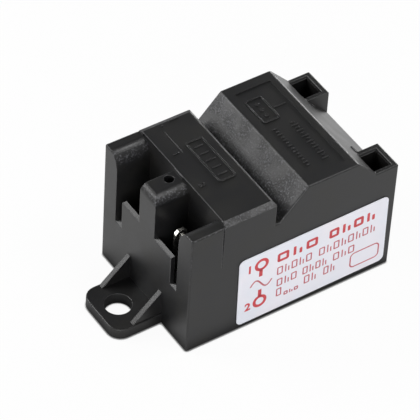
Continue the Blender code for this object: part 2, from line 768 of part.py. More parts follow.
def cut_blade_slit(housing, side):
    """Leave a slit in a pocket's floor for the blade's tail."""
    middle = MIDDLE_Y + side * BLADE_Y
    slit = block_mesh(
        f"blade_slit_{side}",
        (
            TAIL_X - TAIL_WIDTH / 2 - CLEARANCE,
            middle - BLADE_THICKNESS / 2 - CLEARANCE,
            POCKET_FLOOR_HEIGHT - WALL - OVERCUT,
        ),
        (
            TAIL_X + TAIL_WIDTH / 2 + CLEARANCE,
            middle + BLADE_THICKNESS / 2 + CLEARANCE,
            POCKET_FLOOR_HEIGHT + OVERCUT,
        ),
    )
    cut(housing, add_cutter(f"blade_slit_{side}", slit))


def build_housing():
    """Mould the housing: one thin-walled piece, open underneath."""
    outside = outline_mesh("housing", "XZ", side_outline(), 0.0, BODY_WIDTH, EDGE_RADIUS)
    housing = add_part("housing", outside, BLACK_PLASTIC)
    cavity = outline_mesh(
        "cavity", "XZ", inside_outline(WALL, -OVERCUT), WALL, BODY_WIDTH - WALL
    )
    cut(housing, add_cutter("cavity", cavity))
    add_lug(housing)
    cut_tower_gap(housing)
    cut_panel(housing)
    for side in (-1, 1):
        add_shaft(housing, side)
        cut_socket(housing, side)
        cut_slot(housing, side)
        cut_blade_slit(housing, side)
        cut_side_marks(housing, side)
    cut_post(housing)


def flat_terminal(name, plane, centre, tail_centre, normal, width, tip, top, shoulder, tail_end):
    """Blank a flat terminal with a pointed tip, and a narrow tail below its shoulders."""
    half = width / 2
    tail = TAIL_WIDTH / 2
    outline = [
        (tail_centre - tail, tail_end),
        (tail_centre + tail, tail_end),
        (tail_centre + tail, shoulder),
        (centre + half, shoulder + SHOULDER_RISE),
        (centre + half, top - tip),
        (centre + half - tip, top),
        (centre - half + tip, top),
        (centre - half, top - tip),
        (centre - half, shoulder + SHOULDER_RISE),
        (tail_centre - tail, shoulder),
    ]
    low = normal - BLADE_THICKNESS / 2
    high = normal + BLADE_THICKNESS / 2
    mesh = outline_mesh(name, plane, outline, low, high)
    shape = bmesh.new()
    shape.from_mesh(mesh)
    level = top - tip - CLEARANCE
    tip_edges = [
        edge
        for edge in shape.edges
        if min(vertex.co.z for vertex in edge.verts) > level
        and edge.calc_face_angle(0.0) > math.radians(60.0)
    ]
    bmesh.ops.bevel(
        shape,
        geom=tip_edges,
        offset=BLADE_THICKNESS / 4,
        segments=1,
        affect="EDGES",
        clamp_overlap=True,
    )
    shape.to_mesh(mesh)
    shape.free()
    return add_part(name, mesh, TINNED_BRASS)


def build_terminals():
    """Place the two supply blades and the two high-voltage contacts."""
    for number, side in ((1, 1), (2, -1)):
        blade_y = MIDDLE_Y + side * BLADE_Y
        blade = flat_terminal(
            f"input_blade_{number}",
            "XZ",
            BLADE_X,
            TAIL_X,
            blade_y,
            BLADE_WIDTH,
            BLADE_TIP,
            FRONT_TOP - BLADE_RECESS,
            POCKET_FLOOR_HEIGHT + CLEARANCE,
            TAIL_END,
        )
        hole = cylinder_mesh(
            f"catch_hole_{number}",
            "XZ",
            (BLADE_X, FRONT_TOP - BLADE_RECESS - CATCH_HOLE_DROP),
            CATCH_HOLE_DIAMETER / 2,
            blade_y - BLADE_THICKNESS,
            blade_y + BLADE_THICKNESS,
            24,
        )
        cut(blade, add_cutter(f"catch_hole_{number}", hole))
        flat_terminal(
            f"hv_contact_{number}",
            "YZ",
            MIDDLE_Y + side * SOCKET_OFFSET,
            MIDDLE_Y + side * SOCKET_OFFSET,
            SOCKET_X,
            HV_TAB_WIDTH,
            HV_TAB_TIP,
            SOCKET_FLOOR + HV_TAB_RISE,
            SOCKET_FLOOR + CLEARANCE,
            HV_TAIL_END,
        )


def build_label():
    """Lay the rating label on the side wall, turned a little as it was stuck on."""
    front = FRONT_BLOCK_LENGTH + LABEL_FRONT_MARGIN
    rear = BODY_LENGTH - LABEL_REAR_MARGIN
    bottom = LABEL_BOTTOM_MARGIN
    top = REAR_FACE_TOP - LABEL_TOP_MARGIN
    centre = Vector(((front + rear) / 2, (bottom + top) / 2))
    corners = [(front, bottom), (rear, bottom), (rear, top), (front, top)]
    square = rounded_outline([(x, z, LABEL_RADIUS) for x, z in corners])
    turned = []
    for point in square:
        arm = Vector(point) - centre
        arm.rotate(Matrix.Rotation(LABEL_TILT, 2))
        turned.append((centre.x + arm.x, centre.y + arm.y))
    mesh = outline_mesh(
        "rating_label", "XZ", turned, -LABEL_GAP - LABEL_THICKNESS, -LABEL_GAP
    )
    add_part("rating_label", mesh, LABEL_FILM)


def lead_places():
    """Give the centre of each round lead that passes through the circuit board."""
    resistor_y, trigger_y = lane_places()
    resistor_span = RESISTOR_LENGTH / 2 + LEAD_OVERHANG
    diode_span = DIODE_LENGTH / 2 + LEAD_OVERHANG
    places = []
    for side in (-1, 1):
        places.append((LANE_X, resistor_y + side * resistor_span))
        places.append((LANE_X, trigger_y + side * diode_span))
        places.append((TAIL_X, MIDDLE_Y + side * diode_span))
        places.append((CAPACITOR_X, MIDDLE_Y + side * CAPACITOR_PITCH / 2))
        places.append((COIL_X + side * PRIMARY_LEAD_PITCH / 2, MIDDLE_Y))
    return places


def lane_places():
    """Give the middles of the resistor and the trigger diode along their lane."""
    end = CAST_MARGIN + LEAD_DIAMETER / 2 + LEAD_OVERHANG
    return end + RESISTOR_LENGTH / 2, BODY_WIDTH - end - DIODE_LENGTH / 2


def build_board():
    """Cut the circuit board, with a hole for each lead and a slit for each blade."""
    board = add_part(
        "circuit_board",
        block_mesh(
            "circuit_board",
            (CAST_MARGIN, CAST_MARGIN, BOARD_BOTTOM),
            (SHAFT_FRONT - BOARD_END_GAP, BODY_WIDTH - CAST_MARGIN, BOARD_TOP),
        ),
        BOARD_LAMINATE,
    )
    for number, place in enumerate(lead_places(), 1):
        drill = cylinder_mesh(
            f"lead_hole_{number}",
            "XY",
            place,
            LEAD_DIAMETER / 2 + CLEARANCE,
            BOARD_BOTTOM - OVERCUT,
            BOARD_TOP + OVERCUT,
            12,
        )
        cut(board, add_cutter(f"lead_hole_{number}", drill))
    for side in (-1, 1):
        middle = MIDDLE_Y + side * BLADE_Y
        slit = block_mesh(
            f"board_slit_{side}",
            (
                TAIL_X - TAIL_WIDTH / 2 - CLEARANCE,
                middle - BLADE_THICKNESS / 2 - CLEARANCE,
                BOARD_BOTTOM - OVERCUT,
            ),
            (
                TAIL_X + TAIL_WIDTH / 2 + CLEARANCE,
                middle + BLADE_THICKNESS / 2 + CLEARANCE,
                BOARD_TOP + OVERCUT,
            ),
        )
        cut(board, add_cutter(f"board_slit_{side}", slit))


def axial_part(name, x, y, diameter, length, finish):
    """Lay a round component on the board, its lead bent down at both ends."""
    axis_height = BOARD_TOP + CLEARANCE + diameter / 2
    radius = diameter / 2
    shoulder = radius / 3
    half = length / 2
    profile = [
        (0.0, half),
        (radius - shoulder, half),
        (radius, half - shoulder),
        (radius, shoulder - half),
        (radius - shoulder, -half),
        (0.0, -half),
    ]
    body = turned_solid(f"{name}_body", profile, (x, y, axis_height))
    span = half + LEAD_OVERHANG
    route = [
        (x, y - span, TAIL_END),
        (x, y - span, axis_height),
        (x, y + span, axis_height),
        (x, y + span, TAIL_END),
    ]
    lead = wire_mesh(f"{name}_lead", bent_path(route, LEAD_DIAMETER), LEAD_DIAMETER)
    part = add_part(name, body, finish)
    join(part, add_cutter(f"{name}_lead", lead))
    shade_round(part)


def turned_solid(name, profile, centre):
    """Spin an open profile that starts and ends on the axis into a solid along Y."""
    shape = bmesh.new()
    rim = [
        shape.verts.new((centre[0] + radius, centre[1] + along, centre[2]))
        for radius, along in profile
    ]
    edges = [shape.edges.new(pair) for pair in zip(rim, rim[1:])]
    bmesh.ops.spin(
        shape,
        geom=rim + edges,
        cent=centre,
        axis=(0.0, 1.0, 0.0),
        angle=2 * math.pi,
        steps=24,
        use_merge=True,
    )
    bmesh.ops.remove_doubles(shape, verts=shape.verts, dist=1e-6)
    return finish_bmesh(name, shape)


def build_board_parts():
    """Put the capacitor, the resistor and the two diodes on the board."""
    resistor_y, trigger_y = lane_places()
    axial_part(
        "charging_resistor", LANE_X, resistor_y, RESISTOR_DIAMETER, RESISTOR_LENGTH, RESISTOR_COAT
    )
    axial_part("trigger_diode", LANE_X, trigger_y, DIODE_DIAMETER, DIODE_LENGTH, DIODE_BODY)
    axial_part("rectifier_diode", TAIL_X, MIDDLE_Y, DIODE_DIAMETER, DIODE_LENGTH, DIODE_BODY)
    low = (
        CAPACITOR_X - CAPACITOR_WIDTH / 2,
        MIDDLE_Y - CAPACITOR_LENGTH / 2,
        BOARD_TOP + CLEARANCE,
    )
    high = (
        CAPACITOR_X + CAPACITOR_WIDTH / 2,
        MIDDLE_Y + CAPACITOR_LENGTH / 2,
        BOARD_TOP + CLEARANCE + CAPACITOR_HEIGHT,
    )
    capacitor = add_part(
        "storage_capacitor",
        block_mesh("storage_capacitor", low, high, CAPACITOR_EDGE),
        CAPACITOR_BOX,
    )
    for side in (-1, 1):
        leg = cylinder_mesh(
            f"capacitor_leg_{side}",
            "XY",
            (CAPACITOR_X, MIDDLE_Y + side * CAPACITOR_PITCH / 2),
            LEAD_DIAMETER / 2,
            TAIL_END,
            BOARD_TOP + 2 * OVERCUT,
            12,
        )
        join(capacitor, add_cutter(f"capacitor_leg_{side}", leg))


def former_profile():
    """Draw half the coil former's section: a tube with a flange at both ends of each chamber."""
    rim = FLANGE_DIAMETER / 2
    half = FORMER_LENGTH / 2
    bore = ROD_DIAMETER / 2 + CLEARANCE
    profile = [(bore, -half), (bore, half)]
    for number in range(CHAMBERS + 1):
        top = half - number * CHAMBER_PITCH
        profile += [(rim, top), (rim, top - FLANGE_THICKNESS)]
        if number < CHAMBERS:
            profile += [(FORMER_RADIUS, top - FLANGE_THICKNESS), (FORMER_RADIUS, top - CHAMBER_PITCH)]
    return profile


def winding(name, chamber, radius):
    """Wind one chamber of the former to a radius."""
    half = (CHAMBER_PITCH - FLANGE_THICKNESS) / 2 - CLEARANCE
    inner = FORMER_RADIUS + CLEARANCE
    offset = (chamber - (CHAMBERS - 1) / 2) * CHAMBER_PITCH
    profile = [(inner, -half), (inner, half), (radius, half), (radius, -half)]
    turned_part(name, profile, (COIL_X, MIDDLE_Y + offset, COIL_Z), ENAMELLED_COPPER)


def build_coil():
    """Build the ignition coil: rod, former, primary in the middle and secondaries beside it."""
    centre = (COIL_X, MIDDLE_Y, COIL_Z)
    turned_part("coil_former", former_profile(), centre, NATURAL_NYLON)
    half = FORMER_LENGTH / 2 - ROD_RECESS
    rod = cylinder_mesh(
        "ferrite_rod",
        "XZ",
        (COIL_X, COIL_Z),
        ROD_DIAMETER / 2,
        MIDDLE_Y - half,
        MIDDLE_Y + half,
        TURNED_STEPS,
    )
    shade_round(add_part("ferrite_rod", rod, FERRITE))
    middle = SECONDARY_CHAMBERS // 2
    winding("primary_winding", middle, PRIMARY_RADIUS)
    secondaries = [chamber for chamber in range(CHAMBERS) if chamber != middle]
    for number, chamber in enumerate(secondaries, 1):
        winding(f"secondary_winding_{number}", chamber, SECONDARY_RADIUS)


def primary_lead_top():
    """Give the height where a primary lead meets the underside of its winding."""
    reach = PRIMARY_LEAD_PITCH / 2 + LEAD_DIAMETER / 2
    return COIL_Z - math.sqrt(PRIMARY_RADIUS**2 - reach**2) - 2 * CLEARANCE


def hv_lead_route(side):
    """Give the way of a high-voltage lead, from the outermost winding to its contact's tail.

    It leaves the winding low at the rear, where the winding's rim falls away below the flange,
    passes over the end of the board and then runs under the tower's shaft to the tail.
    """
    chamber_y = MIDDLE_Y + side * SECONDARY_CHAMBERS / 2 * CHAMBER_PITCH
    leave = SECONDARY_RADIUS + 2 * CLEARANCE + HV_LEAD_DIAMETER / 2
    angle = math.radians(40.0)
    start = Vector((COIL_X + leave * math.cos(angle), chamber_y, COIL_Z - leave * math.sin(angle)))
    over_board = SHAFT_FRONT - BOARD_END_GAP / 2
    contact_y = MIDDLE_Y + side * SOCKET_OFFSET
    end_height = HV_TAIL_END + HV_LEAD_DIAMETER
    end_x = SOCKET_X - BLADE_THICKNESS / 2 - CLEARANCE
    return bent_path(
        [
            start,
            (over_board, (chamber_y + contact_y) / 2, (start.z + min(start.z, end_height)) / 2),
            (end_x - 2 * HV_LEAD_DIAMETER, contact_y, end_height),
            (end_x, contact_y, end_height),
        ],
        HV_LEAD_DIAMETER,
    )


def build_leads():
    """Run the coil's two primary leads to the board and its two high-voltage leads to the rear."""
    for number, side in ((1, 1), (2, -1)):
        x = COIL_X + side * PRIMARY_LEAD_PITCH / 2
        primary = cylinder_mesh(
            f"primary_lead_{number}",
            "XY",
            (x, MIDDLE_Y),
            LEAD_DIAMETER / 2,
            TAIL_END,
            primary_lead_top(),
            12,
        )
        shade_round(add_part(f"primary_lead_{number}", primary, ENAMELLED_COPPER))
        sleeve = wire_mesh(f"hv_lead_{number}", hv_lead_route(side), HV_LEAD_DIAMETER)
        shade_round(add_part(f"hv_lead_{number}", sleeve, LEAD_SLEEVE))


def cast_space(resin, name, low, high):
    """Leave room in the resin for what lies between two corners, with the clearance round it."""
    grow = Vector((CLEARANCE, CLEARANCE, CLEARANCE))
    space = block_mesh(name, Vector(low) - grow, Vector(high) + grow)
    cut(resin, add_cutter(name, space))


def cast_axial_space(resin, name, x, y, diameter, length):
    """Leave room in the resin for a round component and the bends of its lead."""
    span = length / 2 + LEAD_OVERHANG + LEAD_DIAMETER / 2
    radius = diameter / 2
    top = BOARD_TOP + CLEARANCE + diameter
    cast_space(resin, name, (x - radius, y - span, BOARD_TOP), (x + radius, y + span, top))


def build_resin():
    """Cast the resin that fills the housing up to just short of its rim."""
    inset = WALL + CLEARANCE
    block = outline_mesh(
        "potting_resin", "XZ", inside_outline(inset, RESIN_RECESS), inset, BODY_WIDTH - inset
    )
    resin = add_part("potting_resin", block, RESIN)
    board_rear = SHAFT_FRONT - BOARD_END_GAP
    cast_space(
        resin,
        "board_space",
        (CAST_MARGIN, CAST_MARGIN, TAIL_END),
        (board_rear, BODY_WIDTH - CAST_MARGIN, BOARD_TOP),
    )
    cast_space(
        resin,
        "capacitor_space",
        (CAPACITOR_X - CAPACITOR_WIDTH / 2, MIDDLE_Y - CAPACITOR_LENGTH / 2, BOARD_TOP),
        (
            CAPACITOR_X + CAPACITOR_WIDTH / 2,
            MIDDLE_Y + CAPACITOR_LENGTH / 2,
            BOARD_TOP + CLEARANCE + CAPACITOR_HEIGHT,
        ),
    )
    resistor_y, trigger_y = lane_places()
    cast_axial_space(
        resin, "resistor_space", LANE_X, resistor_y, RESISTOR_DIAMETER, RESISTOR_LENGTH
    )
    cast_axial_space(resin, "trigger_space", LANE_X, trigger_y, DIODE_DIAMETER, DIODE_LENGTH)
    cast_axial_space(resin, "rectifier_space", TAIL_X, MIDDLE_Y, DIODE_DIAMETER, DIODE_LENGTH)
    half = FORMER_LENGTH / 2 + CLEARANCE
    coil = cylinder_mesh(
        "coil_space",
        "XZ",
        (COIL_X, COIL_Z),
        FLANGE_DIAMETER / 2 + CLEARANCE,
        MIDDLE_Y - half,
        MIDDLE_Y + half,
        TURNED_STEPS,
    )
    cut(resin, add_cutter("coil_space", coil))
    for side in (-1, 1):
        cast_round_terminals(resin, side)


def cast_round_terminals(resin, side):
    """Leave room on one side for a blade's tail, a tower's shaft, its contact and its lead."""
    slot_y = MIDDLE_Y + side * BLADE_Y
    half_tail = TAIL_WIDTH / 2
    half_blade = BLADE_THICKNESS / 2
    cast_space(
        resin,
        f"blade_tail_space_{side}",
        (TAIL_X - half_tail, slot_y - half_blade, BOARD_TOP),
        (TAIL_X + half_tail, slot_y + half_blade, POCKET_FLOOR_HEIGHT),
    )
    ends = sorted((MIDDLE_Y + side * TOWER_FACE, MIDDLE_Y + side * MIDDLE_Y))
    cast_space(
        resin,
        f"shaft_space_{side}",
        (SHAFT_FRONT, ends[0], SHAFT_BOTTOM),
        (BODY_LENGTH, ends[1], REAR_TOP),
    )
    contact_y = MIDDLE_Y + side * SOCKET_OFFSET
    cast_space(
        resin,
        f"contact_space_{side}",
        (SOCKET_X - half_blade, contact_y - half_tail, HV_TAIL_END),
        (SOCKET_X + half_blade, contact_y + half_tail, SHAFT_BOTTOM),
    )
    route = hv_lead_route(side)
    route[0] += (route[0] - route[1]).normalized() * 2 * CLEARANCE
    tunnel = wire_mesh(f"lead_tunnel_{side}", route, HV_LEAD_DIAMETER + 2 * CLEARANCE)
    cut(resin, add_cutter(f"lead_tunnel_{side}", tunnel))


build_housing()
build_terminals()
build_label()
build_board()
build_board_parts()
build_coil()
build_leads()
build_resin()
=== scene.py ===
"""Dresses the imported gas-burner igniter as it stands in a studio.

The CAD solids are the frame and keep their shapes. This script gives each of them the finish of
its real material and adds what is too fine for the solids: the print on the label, the raised
marks that the mould leaves on the top, the small ribs beside the towers and the curved rim of
the casting resin. Lengths are in millimetres in the housing's own drawing frame (X back from the
front face, Y across from the label side, Z up), and Mould turns them into the row frame.
"""

import logging
import math
from dataclasses import dataclass, field, replace
from enum import Enum
from functools import partial
from typing import Any, Callable, ClassVar, Iterable, Mapping, Sequence

import bmesh
import bpy
import numpy as np
from mathutils import Matrix, Vector


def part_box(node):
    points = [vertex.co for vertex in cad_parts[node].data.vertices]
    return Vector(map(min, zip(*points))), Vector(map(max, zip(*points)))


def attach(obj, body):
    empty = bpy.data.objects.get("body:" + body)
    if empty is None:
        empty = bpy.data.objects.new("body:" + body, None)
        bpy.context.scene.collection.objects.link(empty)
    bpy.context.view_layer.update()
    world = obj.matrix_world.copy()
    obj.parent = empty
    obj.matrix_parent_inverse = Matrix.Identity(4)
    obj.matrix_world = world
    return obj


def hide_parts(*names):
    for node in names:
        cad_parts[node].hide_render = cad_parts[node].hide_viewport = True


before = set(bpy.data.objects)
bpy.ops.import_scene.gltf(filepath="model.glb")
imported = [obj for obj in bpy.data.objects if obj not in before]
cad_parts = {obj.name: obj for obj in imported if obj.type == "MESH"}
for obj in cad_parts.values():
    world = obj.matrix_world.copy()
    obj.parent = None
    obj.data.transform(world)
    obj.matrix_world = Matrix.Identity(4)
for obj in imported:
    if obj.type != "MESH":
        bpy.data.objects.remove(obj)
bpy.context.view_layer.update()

LOG = logging.getLogger("igniter")
MM = 0.001
ROOT = "root"
LUG_REACH = 10.85
PICTURE_WIDTH = 420

Inputs = Mapping[str | int, Any] | Sequence[Any]
Adder = Callable[..., Any]


def linear(colour: str) -> tuple[float, float, float, float]:
    """Turn an sRGB hex colour into linear light.

    Each channel is divided by 255, then by 12.92 where it is small, and elsewhere is shifted by
    0.055, divided by 1.055 and raised to 2.4.

    Args:
        colour: the colour as "#rrggbb".

    Returns:
        Red, green, blue and an alpha of 1.
    """
    channels = [int(colour[place : place + 2], 16) / 255 for place in (1, 3, 5)]
    light = [c / 12.92 if c <= 0.04045 else ((c + 0.055) / 1.055) ** 2.4 for c in channels]
    return (*light, 1.0)


def fill(tree: bpy.types.NodeTree, node: bpy.types.Node, inputs: Inputs) -> None:
    """Give a node its input values and its links.

    Args:
        tree: the node's tree.
        node: the node.
        inputs: values or the output sockets that are linked, in the inputs' order or by name.
    """
    pairs = inputs.items() if isinstance(inputs, Mapping) else enumerate(inputs)
    for key, value in pairs:
        if isinstance(value, bpy.types.NodeSocket):
            tree.links.new(value, node.inputs[key])
        else:
            node.inputs[key].default_value = value


def add_node(
    tree: bpy.types.NodeTree,
    kind: str,
    inputs: Inputs = (),
    output: str | int | None = 0,
    **settings: Any,
) -> Any:
    """Add a node with its settings, its input values and its links.

    Args:
        tree: the node tree that it goes into.
        kind: the node's Blender type after "ShaderNode".
        inputs: its inputs, as fill takes them.
        output: the output that is wanted, or None for all of them.
        settings: the node's own properties.

    Returns:
        That output's socket, or all of them.
    """
    node = tree.nodes.new("ShaderNode" + kind)
    for name, value in settings.items():
        setattr(node, name, value)
    fill(tree, node, inputs)
    return node.outputs if output is None else node.outputs[output]


def cells(size_mm: float) -> float:
    """Give the scale at which a pattern's cells are that many millimetres across."""
    return 1.0 / (size_mm * MM)


def blotches(
    add: Adder,
    place: Any,
    size_mm: float,
    source: tuple[float, float],
    target: tuple[float, float] = (0.0, 1.0),
    detail: float = 2.0,
) -> Any:
    """Spread soft blotches: fractal noise, mapped from one range to another and held there.

    Args:
        add: adds a node to the material.
        place: the place on the surface.
        size_mm: how far a blotch is across.
        source: the range of the noise that is told apart.
        target: what that range becomes.
        detail: how many finer layers the noise has.

    Returns:
        The blotches' level.
    """
    level = add("TexNoise", {"Vector": place, "Scale": cells(size_mm), "Detail": detail})
    return add("MapRange", (level, *source, *target))


def painted(add: Adder, ground: str, coats: Iterable[tuple[Any, str]]) -> Any:
    """Lay coats of colour over a ground.

    Args:
        add: adds a node to the material.
        ground: the lowest colour.
        coats: for each coat, its share from 0 to 1 and its colour.

    Returns:
        The blended colour.
    """
    colour = linear(ground)
    for share, paint in coats:
        colour = add("Mix", {0: share, 6: colour, 7: linear(paint)}, 2, data_type="RGBA")
    return colour


def between(add: Adder, value: Any, low: float, high: float) -> Any:
    """Give 1 where a coordinate is between two values in millimetres, and 0 elsewhere."""
    middle, half = (low + high) / 2 * MM, (high - low) / 2 * MM
    return add("Math", (value, middle, half), operation="COMPARE")


@dataclass(frozen=True)
class Finish:
    """A material: what the real one is, and the shader values that it starts from."""

    name: str
    colour: str
    roughness: float
    metallic: float = 0.0
    ior: float = 1.5
    coat: float = 0.0

    def channels(self, add: Adder, place: Any) -> dict[str, Any]:
        """Build what differs over the surface.

        Args:
            add: adds a node to the material.
            place: the place on the surface, in object coordinates.

        Returns:
            For each of the shader's inputs that is linked, the socket that it takes.
        """
        raise NotImplementedError

    def make(self) -> bpy.types.Material:
        """Make the material with its shader.

        Returns:
            The material.
        """
        material = bpy.data.materials.new(self.name)
        material.use_nodes = True
        material.diffuse_color = linear(self.colour)
        tree = material.node_tree
        shader = tree.nodes["Principled BSDF"]
        plain = {"Base Color": linear(self.colour), "Roughness": self.roughness}
        plain |= {"Metallic": self.metallic, "Coat Weight": self.coat}
        if not self.metallic:
            plain["IOR"] = self.ior
        fill(tree, shader, plain)
        add = partial(add_node, tree)
        fill(tree, shader, self.channels(add, add("TexCoord", output="Object")))
        return material


@dataclass(frozen=True)
class Zone:
    """A box in the row frame, in millimetres, where a finish differs."""

    low: tuple[float, float, float]
    high: tuple[float, float, float]

    def mask(self, add: Adder, place: Any) -> Any:
        """Tell the inside of the box.

        Args:
            add: adds a node to the material.
            place: the place on the surface.

        Returns:
            1 inside and 0 outside.
        """
        inside: Any = 1.0
        for axis, low, high in zip(add("SeparateXYZ", (place,), None), self.low, self.high):
            within = between(add, axis, low, high)
            inside = add("Math", (inside, within), operation="MULTIPLY")
        return inside


def masked(add: Adder, place: Any, zones: Sequence[Zone]) -> Any:
    """Tell the inside of any of several boxes.

    Args:
        add: adds a node to the material.
        place: the place on the surface.
        zones: the boxes.

    Returns:
        1 inside and 0 elsewhere.
    """
    inside: Any = 0.0
    for zone in zones:
        inside = add("Math", (inside, zone.mask(add, place)), operation="MAXIMUM")
    return inside


@dataclass(frozen=True)
class ErodedMoulding(Finish):
    """Glass-filled polyamide, injection moulded in a spark-eroded steel mould.

    The mould's pits print as a fine satin grain. Level and upright walls are nearly plain. The
    inclined and curved faces of the front insert, which the electrode burnt stepwise, have a
    coarser grain in patches, with painted glints as lighter specks, and the rear slope comes
    from a smoother insert. The edges carry thin lighter lines of painted highlight, but not the
    crisp border of the sunk panel. The ledges of the front wall have lips that lean forward, and
    the sockets' mouths carry painted shade.
    """

    # The real grit is too fine to show, so both are drawn as coarse as they need to show.
    grain_mm: float = 0.40
    pits_mm: float = 0.10
    patch_mm: float = 3.2
    cloud_mm: float = 6.0
    edge_radius_mm: float = 0.18
    crisp_radius_mm: float = 0.0
    hollow_mm: float = 1.2
    # Painted highlight: the edge colour lightens the softened outer edges.
    edge_highlight_colour: str = "#5f5f60"
    # Painted glints: the speck colour lightens the grain on the insert's inclined faces.
    painted_glint_colour: str = "#58585c"
    dust_colour: str = "#24231f"
    # Painted shade: the mouth colour darkens the sockets' chamfered mouths.
    mouth_shade_colour: str = "#050505"
    lip_lean: tuple[float, float, float] = (-0.9, 0.0, 0.0)
    mouth_lean: tuple[float, float, float] = (0.0, 0.0, 2.5)
    insert: tuple[Zone, ...] = (Zone((-20.0, -17.0, 18.0), (11.6, 17.0, 34.0)),)
    panel: tuple[Zone, ...] = (Zone((9.2, -14.3, 32.4), (18.9, 14.3, 33.5)),)
    lips: tuple[Zone, ...] = (
        Zone((-19.6, -11.6, 20.3), (-18.3, 11.8, 21.2)),
        Zone((-19.6, -11.6, 13.2), (-18.3, 11.8, 14.0)),
    )
    mouths: tuple[Zone, ...] = (
        Zone((24.0, 9.4, 27.5), (29.3, 15.3, 27.9)),
        Zone((24.0, -15.2, 27.5), (29.3, -9.3, 27.9)),
    )

    def rounded(self, add: Adder, place: Any, plain: Any) -> Any:
        """Give the normals of the softened outer edges.

        Inner corners are crisp: there less than about three quarters of the surroundings are
        open, and the plain normal is kept.

        Args:
            add: adds a node to the material.
            place: the place on the surface.
            plain: the surface's own normal.

        Returns:
            The normals.
        """
        panel = masked(add, place, self.panel)
        radii = (self.edge_radius_mm * MM, self.crisp_radius_mm * MM)
        radius = add("MapRange", (panel, 0.0, 1.0, *radii))
        soft = add("Bevel", (radius,), samples=8)
        around = add("AmbientOcclusion", {"Distance": self.hollow_mm * MM}, "AO", samples=6)
        outer = add("MapRange", (around, 0.65, 0.85))
        return add("Mix", {0: outer, 4: plain, 5: soft}, 1, data_type="VECTOR")

    def leaning(self, add: Adder, normal: Any, mask: Any, lean: Sequence[float]) -> Any:
        """Lean the normals of a zone: the normal plus the lean, at length 1 again.

        Args:
            add: adds a node to the material.
            normal: the normals.
            mask: 1 where they lean.
            lean: what is added to them there.

        Returns:
            The new normals.
        """
        summed = add("VectorMath", (mask, lean, normal), operation="MULTIPLY_ADD")
        return add("VectorMath", (summed,), operation="NORMALIZE")

    def inclined(self, add: Adder, place: Any, true_normal: Any) -> Any:
        """Tell the insert's inclined faces, where no part of the normal is near 1.

        Args:
            add: adds a node to the material.
            place: the place on the surface.
            true_normal: the face's own normal.

        Returns:
            1 on them and 0 elsewhere.
        """
        sizes = add("VectorMath", (true_normal,), operation="ABSOLUTE")
        parts = add("SeparateXYZ", (sizes,), None)
        larger = add("Math", (parts["X"], parts["Y"]), operation="MAXIMUM")
        largest = add("Math", (larger, parts["Z"]), operation="MAXIMUM")
        tilted = add("MapRange", (largest, 0.985, 0.90))
        return add("Math", (tilted, masked(add, place, self.insert)), operation="MULTIPLY")

    def channels(self, add: Adder, place: Any) -> dict[str, Any]:
        """Build grain, painted glints, edge highlights and mouth shade, and a breath of dust.

        Args:
            add: adds a node to the material.
            place: the place on the surface.

        Returns:
            The sockets for the shader's linked inputs.
        """
        shape = add("NewGeometry", output=None)
        rounded = self.rounded(add, place, shape["Normal"])
        facing = (rounded, shape["Normal"])
        alike = add("VectorMath", facing, "Value", operation="DOT_PRODUCT")
        edge = add("MapRange", (alike, 0.995, 0.80))
        inclined = self.inclined(add, place, shape["True Normal"])
        # The mouths mask lays the painted shade and leans the normals up.
        mouths = masked(add, place, self.mouths)

        coarse = {"Vector": place, "Detail": 3.0}
        grain = add("TexNoise", coarse | {"Scale": cells(self.grain_mm)})
        cloud = add("TexNoise", coarse | {"Scale": cells(self.cloud_mm)})
        pits = add("TexNoise", {"Vector": place, "Scale": cells(self.pits_mm)})
        patches = blotches(add, place, self.patch_mm, (0.38, 0.62), (0.25, 1.0))
        specks = add("MapRange", (grain, 0.50, 0.68))
        patchy = add("Math", (inclined, patches), operation="MULTIPLY")
        painted_glints = add("Math", (specks, patchy), operation="MULTIPLY")

        dusty = add("MapRange", (cloud, 0.45, 0.75, 0.0, 0.5))
        # Over the dust: painted glints, painted edge highlights and painted shade in the mouths.
        coats = (
            (dusty, self.dust_colour),
            (painted_glints, self.painted_glint_colour),
            (edge, self.edge_highlight_colour),
            (mouths, self.mouth_shade_colour),
        )
        worn = add("Math", (edge, -0.12, self.roughness), operation="MULTIPLY_ADD")
        uneven = add("MapRange", (cloud, 0.3, 0.7, -0.03, 0.05))
        coarser = add("Math", (patchy, 0.12, uneven), operation="MULTIPLY_ADD")
        rough = add("Math", (worn, coarser), operation="ADD")

        upward = add("SeparateXYZ", (shape["True Normal"],), "Z")
        lips = add("Math", (masked(add, place, self.lips), upward), operation="MULTIPLY")
        normal = self.leaning(add, rounded, lips, self.lip_lean)
        normal = self.leaning(add, normal, mouths, self.mouth_lean)
        relief = add("MapRange", (patchy, 0.0, 1.0, 0.08, 0.8))
        for strength, depth, height in ((relief, 0.08, grain), (0.25, 0.012, pits)):
            bump = {"Strength": strength, "Distance": depth * MM, "Height": height}
            normal = add("Bump", bump | {"Normal": normal})
        colour = painted(add, self.colour, coats)
        return {"Base Color": colour, "Roughness": rough, "Normal": normal}


@dataclass(frozen=True)
class MottledFinish(Finish):
    """A plain moulded, dipped or sintered surface with a soft mottle and a shallow relief."""

    second_colour: str = "#000000"
    mottle_mm: float = 1.5
    relief_mm: float = 0.02
    relief_size_mm: float = 0.3

    def channels(self, add: Adder, place: Any) -> dict[str, Any]:
        """Blend two shades in blotches and roughen the surface.

        Args:
            add: adds a node to the material.
            place: the place on the surface.

        Returns:
            The sockets for the shader's linked inputs.
        """
        mottle = blotches(add, place, self.mottle_mm, (0.35, 0.65), detail=3.0)
        rough = (self.roughness - 0.04, self.roughness + 0.04)
        height = add("TexNoise", {"Vector": place, "Scale": cells(self.relief_size_mm)})
        bump = {"Strength": 0.4, "Distance": self.relief_mm * MM, "Height": height}
        return {
            "Base Color": painted(add, self.colour, [(mottle, self.second_colour)]),
            "Roughness": add("MapRange", (mottle, 0.0, 1.0, *rough)),
            "Normal": add("Bump", bump),
        }


